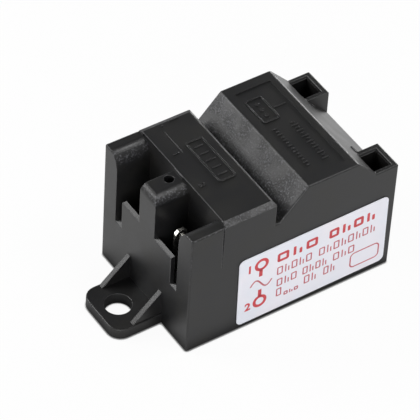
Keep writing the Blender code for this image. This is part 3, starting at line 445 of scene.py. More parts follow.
@dataclass(frozen=True)
class BandedFinish(Finish):
    """A coated component body that lies along Y, with painted bands round it.

    Each band has its two Y values, given in the row frame in millimetres, and its colour.
    """

    bands: tuple[tuple[float, float, str], ...] = ()
    shade_colour: str = "#1a1a1a"

    def channels(self, add: Adder, place: Any) -> dict[str, Any]:
        """Paint the bands and dull them unevenly.

        Args:
            add: adds a node to the material.
            place: the place on the surface.

        Returns:
            The sockets for the shader's linked inputs.
        """
        along = add("SeparateXYZ", (place,), "Y")
        coats = [(between(add, along, low, high), paint) for low, high, paint in self.bands]
        coats.append((blotches(add, place, 0.8, (0.3, 0.7), (0.0, 0.12)), self.shade_colour))
        height = add("TexNoise", {"Vector": place, "Scale": cells(0.25)})
        bump = {"Strength": 0.3, "Distance": 0.02 * MM, "Height": height}
        return {"Base Color": painted(add, self.colour, coats), "Normal": add("Bump", bump)}


@dataclass(frozen=True)
class PressedMetal(Finish):
    """Brass strip, rolled, blanked and tin plated: bright, with faint rolling lines."""

    # Rolling leaves finer lines than these, which are drawn as coarse as they need to show.
    line_mm: float = 0.12
    dull_colour: str = "#a9a69b"

    def channels(self, add: Adder, place: Any) -> dict[str, Any]:
        """Stretch noise along Z into rolling lines and let the plating vary a little.

        Args:
            add: adds a node to the material.
            place: the place on the surface.

        Returns:
            The sockets for the shader's linked inputs.
        """
        stretched = add("Mapping", {"Vector": place, "Scale": (1.0, 1.0, 0.06)})
        noise = {"Vector": stretched, "Scale": cells(self.line_mm), "Detail": 3.0}
        lines = add("TexNoise", noise)
        rough = (self.roughness - 0.07, self.roughness + 0.09)
        dull = blotches(add, place, 1.2, (0.4, 0.75), (0.0, 0.35), 3.0)
        bump = {"Strength": 0.2, "Distance": 0.01 * MM, "Height": lines}
        return {
            "Base Color": painted(add, self.colour, [(dull, self.dull_colour)]),
            "Roughness": add("MapRange", (lines, 0.3, 0.7, *rough)),
            "Normal": add("Bump", bump),
        }


@dataclass(frozen=True)
class WoundWire(Finish):
    """Enamelled copper wire: glossy turns that lie side by side round an axis along Y."""

    coat: float = 0.5
    # The real wire is thinner, and its turns are drawn as coarse as they need to show.
    turn_mm: float = 0.2
    # Painted shade: the gap colour darkens the creases between the turns.
    crease_shade_colour: str = "#5a2a14"

    def channels(self, add: Adder, place: Any) -> dict[str, Any]:
        """Draw the turns as fine round ridges along Y, with painted shade between them.

        Args:
            add: adds a node to the material.
            place: the place on the surface.

        Returns:
            The sockets for the shader's linked inputs.
        """
        scale = math.pi / (10 * self.turn_mm * MM)
        wave = {"Vector": place, "Scale": scale, "Distortion": 0.4}
        turns = add(
            "TexWave", wave, "Fac", wave_type="BANDS", bands_direction="Y", wave_profile="SIN"
        )
        bump = {"Strength": 0.8, "Distance": self.turn_mm / 4 * MM, "Height": turns}
        colour = painted(add, self.crease_shade_colour, [(turns, self.colour)])
        return {"Base Color": colour, "Normal": add("Bump", bump)}


@dataclass(frozen=True)
class PouredResin(Finish):
    """Two-part casting resin, poured in liquid and cured: glossy, with small craters and dust."""

    wave_mm: float = 5.0
    bubble_mm: float = 4.0
    dust_colour: str = "#3a3a3d"

    def channels(self, add: Adder, place: Any) -> dict[str, Any]:
        """Let the pour's slow waves and a few burst bubbles show in the gloss.

        Args:
            add: adds a node to the material.
            place: the place on the surface.

        Returns:
            The sockets for the shader's linked inputs.
        """
        waves = add("TexNoise", {"Vector": place, "Scale": cells(self.wave_mm)})
        bubbles = add("TexVoronoi", {"Vector": place, "Scale": cells(self.bubble_mm)})
        craters = add("MapRange", (bubbles, 0.03, 0.09))
        dust = blotches(add, place, 0.5, (0.62, 0.8), (0.0, 0.5), 4.0)
        rough = (self.roughness, self.roughness + 0.3)
        slow = add("Bump", {"Strength": 0.5, "Distance": 0.3 * MM, "Height": waves})
        sharp = {"Strength": 0.6, "Distance": 0.08 * MM, "Height": craters, "Normal": slow}
        return {
            "Base Color": painted(add, self.colour, [(dust, self.dust_colour)]),
            "Roughness": add("MapRange", (dust, 0.0, 0.5, *rough)),
            "Normal": add("Bump", sharp),
        }


@dataclass(frozen=True)
class PrintedFilm(Finish):
    """White polyester label film with a satin top coat, cool white and slightly uneven."""

    warm_colour: str = "#eeebf2"

    def channels(self, add: Adder, place: Any) -> dict[str, Any]:
        """Tint the film in wide patches and give it the slight orange peel of its glue.

        Args:
            add: adds a node to the material.
            place: the place on the surface.

        Returns:
            The sockets for the shader's linked inputs.
        """
        patches = blotches(add, place, 9.0, (0.35, 0.7))
        height = add("TexNoise", {"Vector": place, "Scale": cells(1.1)})
        bump = {"Strength": 0.15, "Distance": 0.03 * MM, "Height": height}
        colour = painted(add, self.colour, [(patches, self.warm_colour)])
        return {"Base Color": colour, "Normal": add("Bump", bump)}


@dataclass(frozen=True)
class PaperLaminate(Finish):
    """Phenolic paper board: pressed sheets whose fibres cloud the brown resin."""

    fibre_colour: str = "#b9a061"

    def channels(self, add: Adder, place: Any) -> dict[str, Any]:
        """Stretch noise along X for the fibres.

        Args:
            add: adds a node to the material.
            place: the place on the surface.

        Returns:
            The sockets for the shader's linked inputs.
        """
        fibres = add("Mapping", {"Vector": place, "Scale": (0.15, 1.0, 1.0)})
        cloud = blotches(add, fibres, 0.35, (0.35, 0.7), detail=4.0)
        bump = {"Strength": 0.2, "Distance": 0.02 * MM, "Height": cloud}
        colour = painted(add, self.colour, [(cloud, self.fibre_colour)])
        return {"Base Color": colour, "Normal": add("Bump", bump)}


class Slot(Enum):
    """The record's material slots, each with the finish that it gets here."""

    HOUSING = "black_moulded_plastic"
    RESIN = "black_casting_resin"
    LABEL = "white_label_film"
    TIN = "tinned_brass"
    BOARD = "board_laminate"
    CAPACITOR = "capacitor_box"
    RESISTOR = "resistor_coating"
    DIODE = "diode_moulding"
    NYLON = "natural_nylon"
    FERRITE = "sintered_ferrite"
    COPPER = "enamelled_copper"
    SLEEVE = "silicone_sleeve"


FINISHES: dict[Slot, Finish] = {
    Slot.HOUSING: ErodedMoulding("black polyamide, spark-eroded mould", "#1a1a1b", 0.37),
    Slot.RESIN: PouredResin("black casting resin, poured", "#17171a", 0.16, ior=1.52),
    Slot.LABEL: PrintedFilm("white polyester film, satin", "#e6e9f2", 0.38),
    Slot.TIN: PressedMetal("tin-plated brass strip, blanked", "#dcdad3", 0.24, metallic=1.0),
    Slot.BOARD: PaperLaminate("phenolic paper laminate, pressed", "#94793a", 0.5),
    Slot.CAPACITOR: MottledFinish(
        "blue polyester box, moulded", "#2f5aa6", 0.34, second_colour="#2a5198"
    ),
    Slot.RESISTOR: BandedFinish(
        "beige cement coating with colour bands",
        "#c7ab80",
        0.5,
        bands=((-9.6, -8.8, "#7a3a1c"), (-7.9, -7.1, "#1c1c1c"), (-6.2, -5.4, "#c8731f")),
    ),
    Slot.DIODE: BandedFinish(
        "black epoxy moulding with a cathode band",
        "#1d1d1e",
        0.4,
        bands=((1.3, 2.0, "#c9c9c6"), (10.3, 11.0, "#c9c9c6")),
    ),
    Slot.NYLON: MottledFinish(
        "natural nylon, moulded", "#e6dfcb", 0.45, second_colour="#ddd3ba", mottle_mm=3.0
    ),
    Slot.FERRITE: MottledFinish(
        "sintered ferrite, ground", "#3c3c3f", 0.55, second_colour="#2f2f33", mottle_mm=0.6
    ),
    Slot.COPPER: WoundWire("enamelled copper wire, wound", "#b8683a", 0.3, metallic=1.0),
    Slot.SLEEVE: MottledFinish(
        "silicone rubber sleeve, extruded", "#c2513f", 0.55, second_colour="#b3483a"
    ),
}

MARKS = replace(
    FINISHES[Slot.HOUSING], name="black polyamide, raised marks", edge_radius_mm=0.08, panel=()
)
INK = MottledFinish(
    "red screen ink on film",
    "#c6383f",
    0.5,
    second_colour="#cc4a50",
    mottle_mm=0.5,
    relief_mm=0.005,
)
THIN_INK = replace(
    INK, name="red screen ink, thin strokes", colour="#b8545e", second_colour="#c2656d"
)


@dataclass
class Wardrobe:
    """The materials made so far, one for each finish."""

    made: dict[str, bpy.types.Material] = field(default_factory=dict)

    def get(self, finish: Finish) -> bpy.types.Material:
        """Give a finish's material, which is made once.

        Args:
            finish: the finish.

        Returns:
            Its material.
        """
        if finish.name not in self.made:
            self.made[finish.name] = finish.make()
        return self.made[finish.name]

    def dress(self, names: Iterable[str], slot: Slot) -> None:
        """Put a slot's finish on CAD nodes and report each of them.

        Args:
            names: the nodes.
            slot: the record's slot that they take their finish from.
        """
        material = self.get(FINISHES[slot])
        for name in names:
            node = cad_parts[name]
            node.data.materials.clear()
            node.data.materials.append(material)
            LOG.info("dressed %s in %s", name, material.name)


@dataclass(frozen=True)
class Mould:
    """The housing's drawing frame: X from the front face, Y from the label side, Z up."""

    origin: np.ndarray

    @classmethod
    def from_frame(cls) -> "Mould":
        """Take the frame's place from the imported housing, whose lug reaches forward of it."""
        low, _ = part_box("housing")
        return cls(np.array([low.x + LUG_REACH * MM, low.y, 0.0]))

    def place(self, points: np.ndarray) -> np.ndarray:
        """Turn millimetres of the drawing frame into metres of the row frame."""
        return points * MM + self.origin


@dataclass(frozen=True)
class Face:
    """A flat face of the housing with drawing axes across and up on it."""

    origin: tuple[float, float, float]
    across: tuple[float, float, float]
    up: tuple[float, float, float]

    def place(self, points: np.ndarray) -> np.ndarray:
        """Lay points (across, up, height above the face) on the face.

        The place is the origin plus across times the first axis, up times the second and the
        height times their cross product.

        Args:
            points: an array whose last axis holds the three numbers.

        Returns:
            The points in the drawing frame.
        """
        axes = np.array([self.across, self.up, np.cross(self.across, self.up)])
        return points @ axes + np.array(self.origin)

    def turned(self, degrees: float) -> "Face":
        """Give the same face with its axes turned.

        Args:
            degrees: the angle, anticlockwise.

        Returns:
            The turned face.
        """
        c, s = math.cos(math.radians(degrees)), math.sin(math.radians(degrees))
        across, up = np.array(self.across), np.array(self.up)
        return Face(self.origin, tuple(c * across + s * up), tuple(c * up - s * across))


@dataclass
class Solid:
    """Closed shells that are gathered into one mesh."""

    vertices: list[np.ndarray] = field(default_factory=list)
    faces: list[list[int]] = field(default_factory=list)
    count: int = 0

    def add(self, vertices: np.ndarray, faces: list[list[int]]) -> None:
        """Take in a shell.

        Args:
            vertices: its vertices, in the drawing frame.
            faces: the corners of its faces, as numbers of its own vertices.
        """
        self.vertices.append(vertices.reshape(-1, 3))
        self.faces += [[corner + self.count for corner in face] for face in faces]
        self.count += len(self.vertices[-1])

    def add_rings(self, rings: np.ndarray, looped: bool = False) -> None:
        """Skin a stack of closed rings, and close its ends or join them to each other.

        Vertex (i, j) is point j of ring i. Each quad joins j and j + 1 of rings i and i + 1. An
        open stack gets a fan at each end, which joins the end ring to the mean of its points. In
        a looped stack, as in a torus, the last ring is joined to the first.

        Args:
            rings: an array of rings by points by three coordinates.
            looped: whether the stack runs round and meets itself.
        """
        count, steps = rings.shape[:2]
        index = np.arange(count * steps).reshape(count, steps)
        after, beyond = np.roll(index, -1, axis=1), np.roll(index, -1, axis=0)
        quads = np.stack([index, after, np.roll(after, -1, axis=0), beyond], axis=-1)
        if looped:
            self.add(rings, quads.reshape(-1, 4).tolist())
            return
        fans = []
        for end, centre in ((0, count * steps), (-1, count * steps + 1)):
            fans.append(np.stack([index[end], after[end], np.full(steps, centre)], axis=-1))
        points = np.concatenate([rings.reshape(-1, 3), rings[[0, -1]].mean(axis=1)])
        self.add(points, quads[:-1].reshape(-1, 4).tolist() + np.concatenate(fans).tolist())

    def piece(self, name: str, mould: Mould, material: bpy.types.Material) -> bpy.types.Object:
        """Make the piece: a mesh in the row frame whose faces point outwards.

        Args:
            name: the piece's name.
            mould: the frame that the vertices are drawn in.
            material: its finish.

        Returns:
            The object, at the origin, unturned and unscaled.
        """
        mesh = bpy.data.meshes.new(name)
        mesh.from_pydata(mould.place(np.concatenate(self.vertices)).tolist(), [], self.faces)
        shape = bmesh.new()
        shape.from_mesh(mesh)
        bmesh.ops.remove_doubles(shape, verts=shape.verts, dist=1e-7)
        bmesh.ops.recalc_face_normals(shape, faces=shape.faces)
        shape.to_mesh(mesh)
        shape.free()
        mesh.materials.append(material)
        made = bpy.data.objects.new(name, mesh)
        bpy.context.scene.collection.objects.link(made)
        return made


def rounded_outline(half: tuple[float, float], radius: float, steps: int = 5) -> np.ndarray:
    """Draw a rectangle with round corners.

    Each corner is a quarter circle: the corner's centre plus the radius times the cosine and
    sine of an angle that runs on through the four quarters.

    Args:
        half: half the length and half the width.
        radius: the corner's radius, at most the smaller half.
        steps: the number of steps in a quarter.

    Returns:
        The outline's points, anticlockwise.
    """
    radius = min(radius, *half)
    angle = np.linspace(0.0, math.pi / 2, steps + 1)[None, :] + np.arange(4)[:, None] * math.pi / 2
    signs = np.array([(1, 1), (-1, 1), (-1, -1), (1, -1)])[:, None, :]
    centres = signs * (np.array(half) - radius)
    arcs = centres + radius * np.stack([np.cos(angle), np.sin(angle)], axis=-1)
    return arcs.reshape(-1, 2)


def raised_pad(
    centre: tuple[float, float],
    half: tuple[float, float],
    radius: float,
    heights: tuple[float, float],
    crown: float = 0.0,
) -> np.ndarray:
    """Stack the rings of a raised pad with a softened upper edge.

    Ring k is the rounded outline drawn in by crown times 1 - cos(a) at a height below the top of
    crown times 1 - sin(a), where a runs from 0 to a right angle. Without a crown the two rings
    are the foot and the top.

    Args:
        centre: the pad's middle on its face.
        half: half its length and half its width.
        radius: its corners' radius.
        heights: its foot and its top above the face.
        crown: the radius of the upper edge.

    Returns:
        The rings, as points on the face.
    """
    foot, top = heights
    angle = np.linspace(0.0, math.pi / 2, 4) if crown else np.zeros(1)
    insets = np.concatenate([[0.0], crown * (1 - np.cos(angle))])
    levels = np.concatenate([[foot], top - crown * (1 - np.sin(angle))])
    rings = []
    for inset, level in zip(insets, levels):
        flat = rounded_outline((half[0] - inset, half[1] - inset), max(radius - inset, 0.01))
        rings.append(np.column_stack([flat + centre, np.full(len(flat), level)]))
    return np.stack(rings)


def stroke(
    path: np.ndarray, width: float, heights: tuple[float, float], closed: bool = False
) -> np.ndarray:
    """Carry a flat rectangular section along a path on a face.

    At each point the section's four corners lie half the width to either side of the path,
    along its normal (the unit tangent turned a right angle), at the foot and at the top.

    Args:
        path: the points of the path on the face.
        width: the stroke's width.
        heights: its foot and its top above the face.
        closed: whether the path meets itself.

    Returns:
        One ring of four corners for each point.
    """
    if closed:
        tangent = np.roll(path, -1, axis=0) - np.roll(path, 1, axis=0)
    else:
        tangent = np.gradient(path, axis=0)
    tangent /= np.linalg.norm(tangent, axis=1, keepdims=True)
    normal = np.stack([-tangent[:, 1], tangent[:, 0]], axis=-1) * width / 2
    corners = []
    for side, level in ((-1, 0), (1, 0), (1, 1), (-1, 1)):
        flat = path + side * normal
        corners.append(np.column_stack([flat, np.full(len(flat), heights[level])]))
    return np.stack(corners, axis=1)


def circle(centre: tuple[float, float], radius: float, steps: int = 40) -> np.ndarray:
    """Draw a circle: the centre plus the radius times the cosine and sine of an angle."""
    angle = np.arange(steps) / steps * 2 * math.pi
    return np.stack([np.cos(angle), np.sin(angle)], axis=-1) * radius + centre


def numeral(
    text: str, centre: tuple[float, float], size: float, heights: tuple[float, float]
) -> tuple[np.ndarray, list[list[int]]]:
    """Shape a plain figure from Blender's own font as a flat solid.

    Args:
        text: the figure.
        centre: the middle of the figure on its face.
        size: its height.
        heights: its foot and its top above the face.

    Returns:
        Its vertices, as points on the face, and its faces.
    """
    curve = bpy.data.curves.new("figure", "FONT")
    curve.body = text
    curve.extrude = 0.5
    curve.offset = 0.03
    drawn = bpy.data.objects.new("figure", curve)
    bpy.context.scene.collection.objects.link(drawn)
    graph = bpy.context.evaluated_depsgraph_get()
    mesh = bpy.data.meshes.new_from_object(drawn.evaluated_get(graph))
    points = np.zeros(len(mesh.vertices) * 3)
    mesh.vertices.foreach_get("co", points)
    faces = [list(polygon.vertices) for polygon in mesh.polygons]
    bpy.data.objects.remove(drawn, do_unlink=True)
    bpy.data.curves.remove(curve)
    bpy.data.meshes.remove(mesh)
    points = points.reshape(-1, 3)
    low, high = points.min(axis=0), points.max(axis=0)
    scale = size / (high[1] - low[1])
    flat = (points[:, :2] - (low[:2] + high[:2]) / 2) * scale + centre
    level = np.where(points[:, 2] > 0, heights[1], heights[0])
    return np.column_stack([flat, level]), faces


@dataclass
class Assembly:
    """A sub-assembly: the CAD nodes that it dresses, and the pieces that it adds to them."""

    mould: Mould
    wardrobe: Wardrobe
    dressed: ClassVar[Mapping[Slot, Sequence[str]]] = {}
    slot: ClassVar[Slot]

    def pieces(self) -> list[bpy.types.Object]:
        """Build the new pieces: none, unless a sub-assembly has its own."""
        return []

    def build(self) -> list[bpy.types.Object]:
        """Dress the CAD nodes and build the new pieces.

        Returns:
            The new pieces.
        """
        for slot, names in self.dressed.items():
            self.wardrobe.dress(names, slot)
        made = self.pieces()
        return made


@dataclass
class Housing(Assembly):
    """The moulded housing: its finish, its raised marks and the small ribs on its slope.

    A mark's numbers are its middle, its length along X and its width along Y.
    """

    dressed = {Slot.HOUSING: ("housing",)}
    slot = Slot.HOUSING
    middle_top: float = 32.0
    panel_floor: float = 32.75
    mark_rise: float = 0.24
    mark_crown: float = 0.12
    faint_rise: float = 0.02
    stroke_width: float = 0.34
    frame_corner: float = 0.5
    figure_size: float = 1.3
    middle_frame: tuple[float, ...] = (15.3, 17.0, 3.8, 12.4)
    middle_bars: tuple[tuple[float, ...], ...] = (
        *((15.3, 12.6 + 2.2 * number, 2.0, 0.34) for number in range(5)),
        (15.3, 30.5, 2.6, 0.26),
        (12.15, 30.0, 0.5, 0.3),
    )
    faint_line: tuple[float, ...] = (11.65, 25.0, 0.3, 7.0)
    pocket_figures: tuple[tuple[str, float, float], ...] = (("1", 10.2, 21.9), ("2", 9.9, 11.8))
    panel_frame: tuple[float, ...] = (31.6, 23.1, 3.8, 7.0)
    panel_bars: tuple[tuple[float, ...], ...] = (
        *((31.6, 21.3 + 1.8 * number, 0.9, 0.9) for number in range(3)),
        (35.6, 22.5, 2.8, 0.3),
    )
    dash_rows: tuple[tuple[float, tuple[float, ...]], ...] = (
        (34.9, (1.6, 0.9) * 7),
        (30.7, (0.7, 1.1) * 7),
    )
    dash_start: float = 4.9
    dash_reach: float = 12.6
    dash_width: float = 0.34
    sink: float = 0.08
    rear_top: float = 33.0
    crest: float = 39.428
    slope_degrees: float = 46.5
    rib_rise: float = 0.22
    rib_corner: float = 0.18
    ribs: tuple[tuple[tuple[float, float], tuple[float, float]], ...] = (
        ((7.6, 23.5), (0.7, 0.2)),
        ((6.9, 8.2), (0.2, 1.0)),
        ((7.7, 8.5), (0.2, 1.0)),
    )

    def top_face(self, level: float) -> Face:
        """Give the level face at a height."""
        return Face((0.0, 0.0, level), (1.0, 0.0, 0.0), (0.0, 1.0, 0.0))

    def add_marks(
        self,
        solid: Solid,
        face: Face,
        bars: Sequence[Sequence[float]],
        frames: Sequence[Sequence[float]],
        rise: float,
    ) -> None:
        """Raise bars and frames on a face.

        Args:
            solid: what they are gathered in.
            face: the face that they stand on.
            bars: the bars.
            frames: the frames, each the outline of a bar.
            rise: their height above the face.
        """
        for x, y, length, width in bars:
            half = (length / 2, width / 2)
            rings = raised_pad((x, y), half, min(half), (-self.sink, rise), self.mark_crown)
            solid.add_rings(face.place(rings))
        for x, y, length, width in frames:
            path = rounded_outline((length / 2, width / 2), self.frame_corner) + (x, y)
            rings = stroke(path, self.stroke_width, (-self.sink, rise), closed=True)
            solid.add_rings(face.place(rings), looped=True)

    def build_middle_marks(self) -> bpy.types.Object:
        """Raise the plain marks and the two pocket figures on the middle block.

        Returns:
            The piece.
        """
        solid = Solid()
        face = self.top_face(self.middle_top)
        heights = (-self.sink, self.mark_rise)
        self.add_marks(solid, face, self.middle_bars, [self.middle_frame], self.mark_rise)
        self.add_marks(solid, face, [self.faint_line], [], self.faint_rise)
        quarter = face.turned(-90.0)
        for text, x, y in self.pocket_figures:
            points, faces = numeral(text, (-y, x), self.figure_size, heights)
            solid.add(quarter.place(points), faces)
        return solid.piece("middle_block_marks", self.mould, self.wardrobe.get(MARKS))

    def build_panel_marks(self) -> bpy.types.Object:
        """Raise the plain frame, the round studs in it and the rows of dashes on the panel.

        Returns:
            The piece.
        """
        solid = Solid()
        face = self.top_face(self.panel_floor)
        bars = list(self.panel_bars)
        for x, lengths in self.dash_rows:
            pitch = self.dash_reach / len(lengths)
            for number, length in enumerate(lengths):
                y = self.dash_start + pitch * (number + 0.5)
                bars.append((x, y, length, self.dash_width))
        self.add_marks(solid, face, bars, [self.panel_frame], self.rear_top - self.panel_floor)
        return solid.piece("panel_marks", self.mould, self.wardrobe.get(MARKS))

    def build_slope_ribs(self) -> bpy.types.Object:
        """Set the small ribs beside the towers' roots on the rear slope.

        Returns:
            The piece.
        """
        slope = math.radians(self.slope_degrees)
        down = (math.cos(slope), 0.0, -math.sin(slope))
        face = Face((self.crest, 0.0, self.rear_top), down, (0.0, 1.0, 0.0))
        heights = (-self.sink, self.rib_rise)
        solid = Solid()
        for centre, half in self.ribs:
            rings = raised_pad(centre, half, self.rib_corner, heights, self.mark_crown)
            solid.add_rings(face.place(rings))
        return solid.piece("slope_ribs", self.mould, self.wardrobe.get(FINISHES[Slot.HOUSING]))

    def pieces(self) -> list[bpy.types.Object]:
        """Build what stands on the housing."""
        return [self.build_middle_marks(), self.build_panel_marks(), self.build_slope_ribs()]


class Weight(Enum):
    """How heavy a row of print is: the width of its strokes."""

    BOLD = 0.66
    PLAIN = 0.3


@dataclass(frozen=True)
class PrintRow:
    """A row of print: words from one place to another, each a pattern of boxes and bars."""

    words: tuple[tuple[float, float, int], ...]
    low: float
    high: float
    weight: Weight


@dataclass
class RatingLabel(Assembly):
    """The film on the label side with its red print: ring symbols, a wave, figures and rows.

    A row's boxes and bars are told in shares of their pitch, and the bars' heights and the
    corners in shares of the row's height and of the stroke or the box.
    """

    dressed = {Slot.LABEL: ("rating_label",)}
    slot = Slot.LABEL
    film_middle: tuple[float, float] = (29.86, 10.80)
    film_size: tuple[float, float] = (36.2, 18.5)
    film_thickness: float = 0.15
    film_corner: float = 1.25
    film_edge: float = 0.03
    middle: tuple[float, float] = (30.05, 10.44)
    outer_face: float = -0.25
    tilt: float = 0.87
    ink: float = 0.012
    ring_x: float = -12.9
    ring_radius: float = 1.32
    ring_stroke: float = 0.72
    stem_x: float = -13.0
    stem_stroke: float = 0.85
    symbols: tuple[tuple[float, tuple[float, float]], ...] = (
        (6.3, (4.9, 2.95)),
        (-4.3, (-2.9, -0.9)),
    )
    figures: tuple[tuple[str, tuple[float, float]], ...] = (
        ("1", (-15.75, 6.2)),
        ("2", (-15.8, -4.55)),
    )
    figure_size: float = 2.2
    wave_reach: tuple[float, float] = (-15.4, -10.2)
    wave_middle: float = 0.85
    wave_rise: float = 1.25
    wave_stroke: float = 0.36
    frame_middle: tuple[float, float] = (12.9, -5.0)
    frame_half: tuple[float, float] = (3.5, 2.0)
    frame_corner: float = 1.0
    frame_stroke: float = 0.32
    box_middle: float = 0.4
    box_share: float = 0.8
    box_corner: float = 0.2
    bars: tuple[tuple[float, float], ...] = ((0.2, 1.0), (0.62, 0.6))
    bar_corner: float = 0.3
    rows: tuple[PrintRow, ...] = (
        PrintRow(((-9.1, 1.4, 3), (3.5, 15.5, 4)), 4.7, 7.15, Weight.BOLD),
        PrintRow(((-9.0, -0.2, 5), (1.2, 15.5, 8)), 1.0, 3.2, Weight.PLAIN),
        PrintRow(((-8.9, -3.7, 3), (-2.6, 3.7, 4), (4.9, 10.5, 3)), -2.4, -0.3, Weight.PLAIN),
        PrintRow(((-8.9, -7.3, 1), (-2.1, 1.35, 2), (2.7, 5.9, 2)), -5.35, -3.1, Weight.PLAIN),
        PrintRow(((-7.0, -3.2, 3),), -5.9, -4.9, Weight.PLAIN),
    )

    def face(self) -> Face:
        """Give the label's outer face with axes along and up the print."""
        flat = Face((self.middle[0], self.outer_face, self.middle[1]), (1, 0, 0), (0, 0, 1))
        return flat.turned(self.tilt)

    def heights(self) -> tuple[float, float]:
        """Give the ink's foot, which is in the film, and its top above the film."""
        return (-self.ink, self.ink)

    def build_film(self) -> bpy.types.Object:
        """Cut the film to the size and the slightly higher place that the picture shows.

        Returns:
            The piece.
        """
        x, z = self.film_middle
        face = replace(self.face(), origin=(x, self.outer_face, z))
        half = (self.film_size[0] / 2, self.film_size[1] / 2)
        heights = (-self.film_thickness, 0.0)
        rings = raised_pad((0.0, 0.0), half, self.film_corner, heights, self.film_edge)
        solid = Solid()
        solid.add_rings(face.place(rings))
        film = solid.piece("label_film", self.mould, self.wardrobe.get(FINISHES[Slot.LABEL]))
        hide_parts("rating_label")
        return film

    def build_symbols(self) -> bpy.types.Object:
        """Print the bold strokes: the rings with their stems, the figures and the title row.

        Returns:
            The piece.
        """
        solid = Solid()
        face = self.face()
        for centre_up, stem in self.symbols:
            ring = circle((self.ring_x, centre_up), self.ring_radius)
            rings = stroke(ring, self.ring_stroke, self.heights(), closed=True)
            solid.add_rings(face.place(rings), looped=True)
            path = np.column_stack([np.full(4, self.stem_x), np.linspace(*stem, 4)])
            solid.add_rings(face.place(stroke(path, self.stem_stroke, self.heights())))
        for text, centre in self.figures:
            points, faces = numeral(text, centre, self.figure_size, self.heights())
            solid.add(face.place(points), faces)
        self.add_row(solid, face, self.rows[0])
        return solid.piece("label_print_bold", self.mould, self.wardrobe.get(INK))

    def add_row(self, solid: Solid, face: Face, row: PrintRow) -> None:
        """Print a row's words as a plain pattern of boxes and pairs of upright bars.

        Args:
            solid: what they are gathered in.
            face: the label's face.
            row: the row.
        """
        height = row.high - row.low
        width = row.weight.value
        for start, end, count in row.words:
            pitch = (end - start) / count
            half = ((pitch * self.box_share - width) / 2, (height - width) / 2)
            for number in range(count):
                if number % 2:
                    for share, tall in self.bars:
                        centre = (start + pitch * (number + share), row.low + height * tall / 2)
                        bar = (width / 2, height * tall / 2)
                        rings = raised_pad(centre, bar, width * self.bar_corner, self.heights())
                        solid.add_rings(face.place(rings))
                else:
                    centre = (start + pitch * (number + self.box_middle), row.low + height / 2)
                    box = rounded_outline(half, min(half) * self.box_corner) + centre
                    rings = stroke(box, width, self.heights(), closed=True)
                    solid.add_rings(face.place(rings), looped=True)

    def build_fine_print(self) -> bpy.types.Object:
        """Print the thin strokes: the wave, the plain rows and the empty frame.

        Returns:
            The piece.
        """
        solid = Solid()
        face = self.face()
        turn = np.linspace(0.0, 2 * math.pi, 40)
        height = self.wave_middle + self.wave_rise * np.sin(turn)
        wave = np.column_stack([np.linspace(*self.wave_reach, 40), height])
        solid.add_rings(face.place(stroke(wave, self.wave_stroke, self.heights())))
        for row in self.rows[1:]:
            self.add_row(solid, face, row)
        outline = rounded_outline(self.frame_half, self.frame_corner) + self.frame_middle
        rings = stroke(outline, self.frame_stroke, self.heights(), closed=True)
        solid.add_rings(face.place(rings), looped=True)
        return solid.piece("label_print_fine", self.mould, self.wardrobe.get(THIN_INK))

    def pieces(self) -> list[bpy.types.Object]:
        """Cut the film and print it."""
        return [self.build_film(), self.build_symbols(), self.build_fine_print()]


@dataclass
class Potting(Assembly):
    """The casting resin, whose surface under the housing creeps up at the walls as it cures."""

    dressed = {Slot.RESIN: ("potting_resin",)}
    slot = Slot.RESIN
    length: float = 49.582
    width: float = 32.0
    wall: float = 1.6
    recess: float = 0.5
    creep: float = 0.34
    creep_length: float = 0.9
    overlap: float = 0.05
    wave_lengths: tuple[float, ...] = (5.1, 4.3, 2.7, 3.4)
    wave_height: float = 0.012
    wave_depth: float = 0.02

    def build_meniscus(self) -> bpy.types.Object:
        """Shape the resin's free surface as a shallow dish.

        The surface lies at the recess below the rim. Towards a wall it rises by the creep times
        exp(-distance / creep length), where the distance is that to the nearest wall, and three
        slow sine waves make it uneven. A level sheet just above it closes the solid.

        Returns:
            The piece.
        """
        x = self.spaced(self.wall, self.length - self.wall)
        y = self.spaced(self.wall, self.width - self.wall)
        grid_x, grid_y = np.meshgrid(x, y, indexing="ij")
        near_x = np.minimum(grid_x - x[0], x[-1] - grid_x)
        near_y = np.minimum(grid_y - y[0], y[-1] - grid_y)
        climb = self.creep * np.exp(-np.minimum(near_x, near_y) / self.creep_length)
        a, b, c, d = self.wave_lengths
        waves = np.sin(grid_x / a) * np.cos(grid_y / b) + np.sin(grid_x / c + grid_y / d)
        level = self.recess - climb - self.wave_depth - self.wave_height * waves
        lower = np.stack([grid_x, grid_y, level], axis=-1)
        upper = lower.copy()
        upper[..., 2] = self.recess + self.overlap
        rows, columns = grid_x.shape
        index = np.arange(rows * columns).reshape(rows, columns)
        quads = np.stack([index[:-1, :-1], index[1:, :-1], index[1:, 1:], index[:-1, 1:]], -1)
        quads = quads.reshape(-1, 4)
        rim = np.concatenate([index[:-1, 0], index[-1, :-1], index[:0:-1, -1], index[0, :0:-1]])
        beyond = np.roll(rim, -1)
        count = rows * columns
        wall = np.stack([rim, beyond, beyond + count, rim + count], axis=-1)
        solid = Solid()
        points = np.concatenate([lower.reshape(-1, 3), upper.reshape(-1, 3)])
        solid.add(points, np.concatenate([quads, quads + count, wall]).tolist())
        return solid.piece("resin_meniscus", self.mould, self.wardrobe.get(FINISHES[Slot.RESIN]))

    def spaced(self, start: float, end: float) -> np.ndarray:
        """Space stations between two walls, closer together near the walls.

        Station t from 0 to 1 lies at the share (t - sin(2 pi t) / (2 pi)) of the way.

        Args:
            start: one wall.
            end: the other wall.

        Returns:
            The stations.
        """
        share = np.linspace(0.0, 1.0, 49)
        return start + (end - start) * (share - np.sin(2 * math.pi * share) / (2 * math.pi))

    def pieces(self) -> list[bpy.types.Object]:
        """Build the resin's free surface."""
        return [self.build_meniscus()]


@dataclass
class Terminals(Assembly):
    """The supply blades in the pockets and the high-voltage contacts in the sockets."""

    dressed = {Slot.TIN: ("input_blade_1", "input_blade_2", "hv_contact_1", "hv_contact_2")}


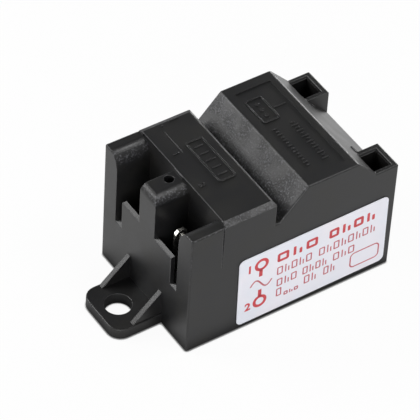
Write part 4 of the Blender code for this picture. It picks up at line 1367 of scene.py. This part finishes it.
@dataclass
class Circuit(Assembly):
    """The board with its capacitor, resistor and diodes, cast in the resin."""

    dressed = {
        Slot.BOARD: ("circuit_board",),
        Slot.CAPACITOR: ("storage_capacitor",),
        Slot.RESISTOR: ("charging_resistor",),
        Slot.DIODE: ("rectifier_diode", "trigger_diode"),
    }


@dataclass
class IgnitionCoil(Assembly):
    """The coil: rod, former, windings and leads, cast in the resin."""

    dressed = {
        Slot.NYLON: ("coil_former",),
        Slot.FERRITE: ("ferrite_rod",),
        Slot.COPPER: (
            "primary_winding",
            *(f"secondary_winding_{number}" for number in range(1, 5)),
            "primary_lead_1",
            "primary_lead_2",
        ),
        Slot.SLEEVE: ("hv_lead_1", "hv_lead_2"),
    }


def direction(azimuth: float, elevation: float) -> Vector:
    """Give the unit vector to an azimuth, counted from -Y towards +X, and an elevation."""
    a, e = math.radians(azimuth), math.radians(elevation)
    return Vector((math.sin(a) * math.cos(e), -math.cos(a) * math.cos(e), math.sin(e)))


@dataclass(frozen=True)
class Camera:
    """The photograph's camera, solved from the housing's straight edges."""

    focal_pixels: float = 3246.64
    azimuth: float = -35.833
    elevation: float = 45.001
    roll: float = 3.782
    distance: float = 657.11
    shift: tuple[float, float] = (3.821, -0.946)
    aim: tuple[float, float, float] = (20.0, 16.0, 15.0)
    sensor: float = 36.0
    clip: tuple[float, float] = (0.01, 20.0)

    def build(self, mould: Mould) -> None:
        """Set up the camera.

        It looks at the aim from the azimuth and elevation, rolled about its own axis, and is
        then moved sideways and up so that the object falls where it does in the picture.

        Args:
            mould: the frame that the aim is given in.
        """
        r = math.radians(self.roll)
        back = direction(self.azimuth, self.elevation)
        level = Vector((0.0, 0.0, 1.0)).cross(back).normalized()
        upright = back.cross(level)
        right = level * math.cos(r) + upright * math.sin(r)
        up = upright * math.cos(r) - level * math.sin(r)
        offset = back * self.distance - right * self.shift[0] - up * self.shift[1]
        place = Vector(mould.place(np.array(self.aim) + np.array(offset)))
        data = bpy.data.cameras.new("camera")
        data.sensor_width = self.sensor
        data.lens = self.focal_pixels * self.sensor / PICTURE_WIDTH
        data.clip_start, data.clip_end = self.clip
        camera = bpy.data.objects.new("camera", data)
        axes = Matrix((right, up, back)).transposed()
        camera.matrix_world = Matrix.Translation(place) @ axes.to_4x4()
        bpy.context.scene.collection.objects.link(camera)
        bpy.context.scene.camera = camera


@dataclass(frozen=True)
class Softbox:
    """A square area lamp that faces the object, told by its direction and its radiance."""

    name: str
    azimuth: float
    elevation: float
    distance: float
    size: float
    radiance: float

    def build(self) -> None:
        """Hang the lamp. Its power is the radiance times pi times its area."""
        towards = direction(self.azimuth, self.elevation)
        data = bpy.data.lights.new(self.name, "AREA")
        data.shape = "SQUARE"
        data.size = self.size
        data.energy = self.radiance * math.pi * self.size**2
        lamp = bpy.data.objects.new(self.name, data)
        lamp.location = towards * self.distance
        lamp.rotation_mode = "QUATERNION"
        lamp.rotation_quaternion = towards.to_track_quat("Z", "Y")
        bpy.context.scene.collection.objects.link(lamp)


@dataclass
class Studio:
    """A pale floor, a white surround that is dimmer overhead, and soft lamps.

    A range's four numbers are the two values that it reads and the two that it gives for them.
    """

    floor_half: float = 3.0
    floor_drop: float = 0.05
    floor_colour: str = "#e8e8e8"
    white: str = "#ffffff"
    floor_white: float = 0.95
    horizon: float = 0.62
    zenith: float = 0.04
    zenith_height: float = 0.85
    contact: float = 3.0
    contact_power: float = 3.0
    contact_line: float = 0.6
    contact_range: tuple[float, ...] = (0.5, 0.8, 0.15, 1.0)
    mirror_ranges: tuple[tuple[str, tuple[float, ...]], ...] = (
        ("Y", (0.005, 0.05, 0.72, 0.92)),
        ("Y", (0.07, 0.14, 1.0, 0.3)),
        ("X", (0.0, 0.07, 1.0, 1.22)),
    )
    lamps: tuple[Softbox, ...] = (
        Softbox("front_softbox", -36.0, 14.0, 1.0, 0.7, 3.4),
        Softbox("left_softbox", -137.0, 37.0, 0.9, 0.45, 7.5),
        Softbox("right_softbox", 50.0, 62.0, 0.9, 0.34, 9.0),
        Softbox("back_softbox", 124.0, 5.0, 1.2, 0.5, 8.0),
    )

    def background(self, add: Adder) -> Any:
        """Tell the rays that see the plain white background: camera and transmission.

        Args:
            add: adds a node to the material or the world.

        Returns:
            1 for them and 0 for all others.
        """
        rays = add("LightPath", output=None)
        seeing = (rays["Is Camera Ray"], rays["Is Transmission Ray"])
        return add("Math", seeing, operation="MAXIMUM")

    def build_world(self) -> None:
        """White where the camera looks, and a dimmer ceiling for the light on the object."""
        world = bpy.data.worlds.new("studio")
        world.use_nodes = True
        world.node_tree.nodes.clear()
        add = partial(add_node, world.node_tree)
        height = add("SeparateXYZ", (add("TexCoord", output="Generated"),), "Z")
        dimmed = (height, 0.0, self.zenith_height, self.horizon, self.zenith)
        level = add("MapRange", dimmed)
        soft, plain = (add("Background", (linear(self.white), s)) for s in (level, 1.0))
        mixed = add("MixShader", (self.background(add), soft, plain))
        add("OutputWorld", {"Surface": mixed}, None)
        bpy.context.scene.world = world

    def openness(self, add: Adder, distance: float) -> Any:
        """Tell how open the floor is to its surroundings, up to that many millimetres away."""
        return add("AmbientOcclusion", {"Distance": distance * MM}, "AO", samples=8)

    def mirrored(self, add: Adder) -> Any:
        """Tell how bright the floor is where the object mirrors it.

        The paper is brightest behind the object, dims towards the front and again far behind,
        and has the dark contact shadow close to the object.

        Args:
            add: adds a node to the floor's material.

        Returns:
            The strength, 0 for all rays that are not glossy.
        """
        axes = add("SeparateXYZ", (add("TexCoord", output="Object"),), None)
        level = add("LightPath", output="Is Glossy Ray")
        for axis, span in self.mirror_ranges:
            factor = add("MapRange", (axes[axis], *span))
            level = add("Math", (level, factor), operation="MULTIPLY")
        opened = (self.openness(add, self.contact), self.contact_power)
        shadow = add("Math", opened, operation="POWER")
        return add("Math", (level, shadow), operation="MULTIPLY")

    def build_floor(self) -> None:
        """Lay the floor: a matt sheet that the camera sees nearly white, with its shadow kept."""
        h = self.floor_half
        mesh = bpy.data.meshes.new("floor")
        mesh.from_pydata([(-h, -h, 0), (h, -h, 0), (h, h, 0), (-h, h, 0)], [], [(0, 1, 2, 3)])
        material = bpy.data.materials.new("pale seamless paper")
        material.use_nodes = True
        material.node_tree.nodes.clear()
        add = partial(add_node, material.node_tree)
        seen = self.background(add)
        line = self.openness(add, self.contact_line)
        touching = add("MapRange", (line, *self.contact_range))
        lit = add("Math", (seen, touching), operation="MULTIPLY")
        strength = add("Math", (lit, self.mirrored(add)), operation="MAXIMUM")
        plain = add("MapRange", (seen, 0.0, 1.0, 0.0, self.floor_white))
        glossy = add("LightPath", output="Is Glossy Ray")
        share = add("Math", (plain, glossy), operation="MAXIMUM")
        paper = add("BsdfDiffuse", (linear(self.floor_colour),))
        white = add("Emission", (linear(self.white), strength))
        add("OutputMaterial", {"Surface": add("MixShader", (share, paper, white))}, None)
        mesh.materials.append(material)
        floor = bpy.data.objects.new("floor", mesh)
        floor.location.z = -self.floor_drop * MM
        bpy.context.scene.collection.objects.link(floor)

    def build(self) -> None:
        """Set up the world, the floor and the lamps."""
        self.build_world()
        self.build_floor()
        for lamp in self.lamps:
            lamp.build()
        bpy.context.scene.view_settings.view_transform = "Standard"


def main() -> None:
    """Build each sub-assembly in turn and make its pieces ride."""
    logging.basicConfig(level=logging.INFO, format="%(name)s: %(message)s")
    mould = Mould.from_frame()
    wardrobe = Wardrobe()
    for kind in (Housing, Terminals, RatingLabel, Potting, Circuit, IgnitionCoil):
        for piece in kind(mould, wardrobe).build():
            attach(piece, ROOT)
            LOG.info("built %s with %d faces", piece.name, len(piece.data.polygons))
    Camera().build(mould)
    Studio().build()


if __name__ == "__main__":
    main()
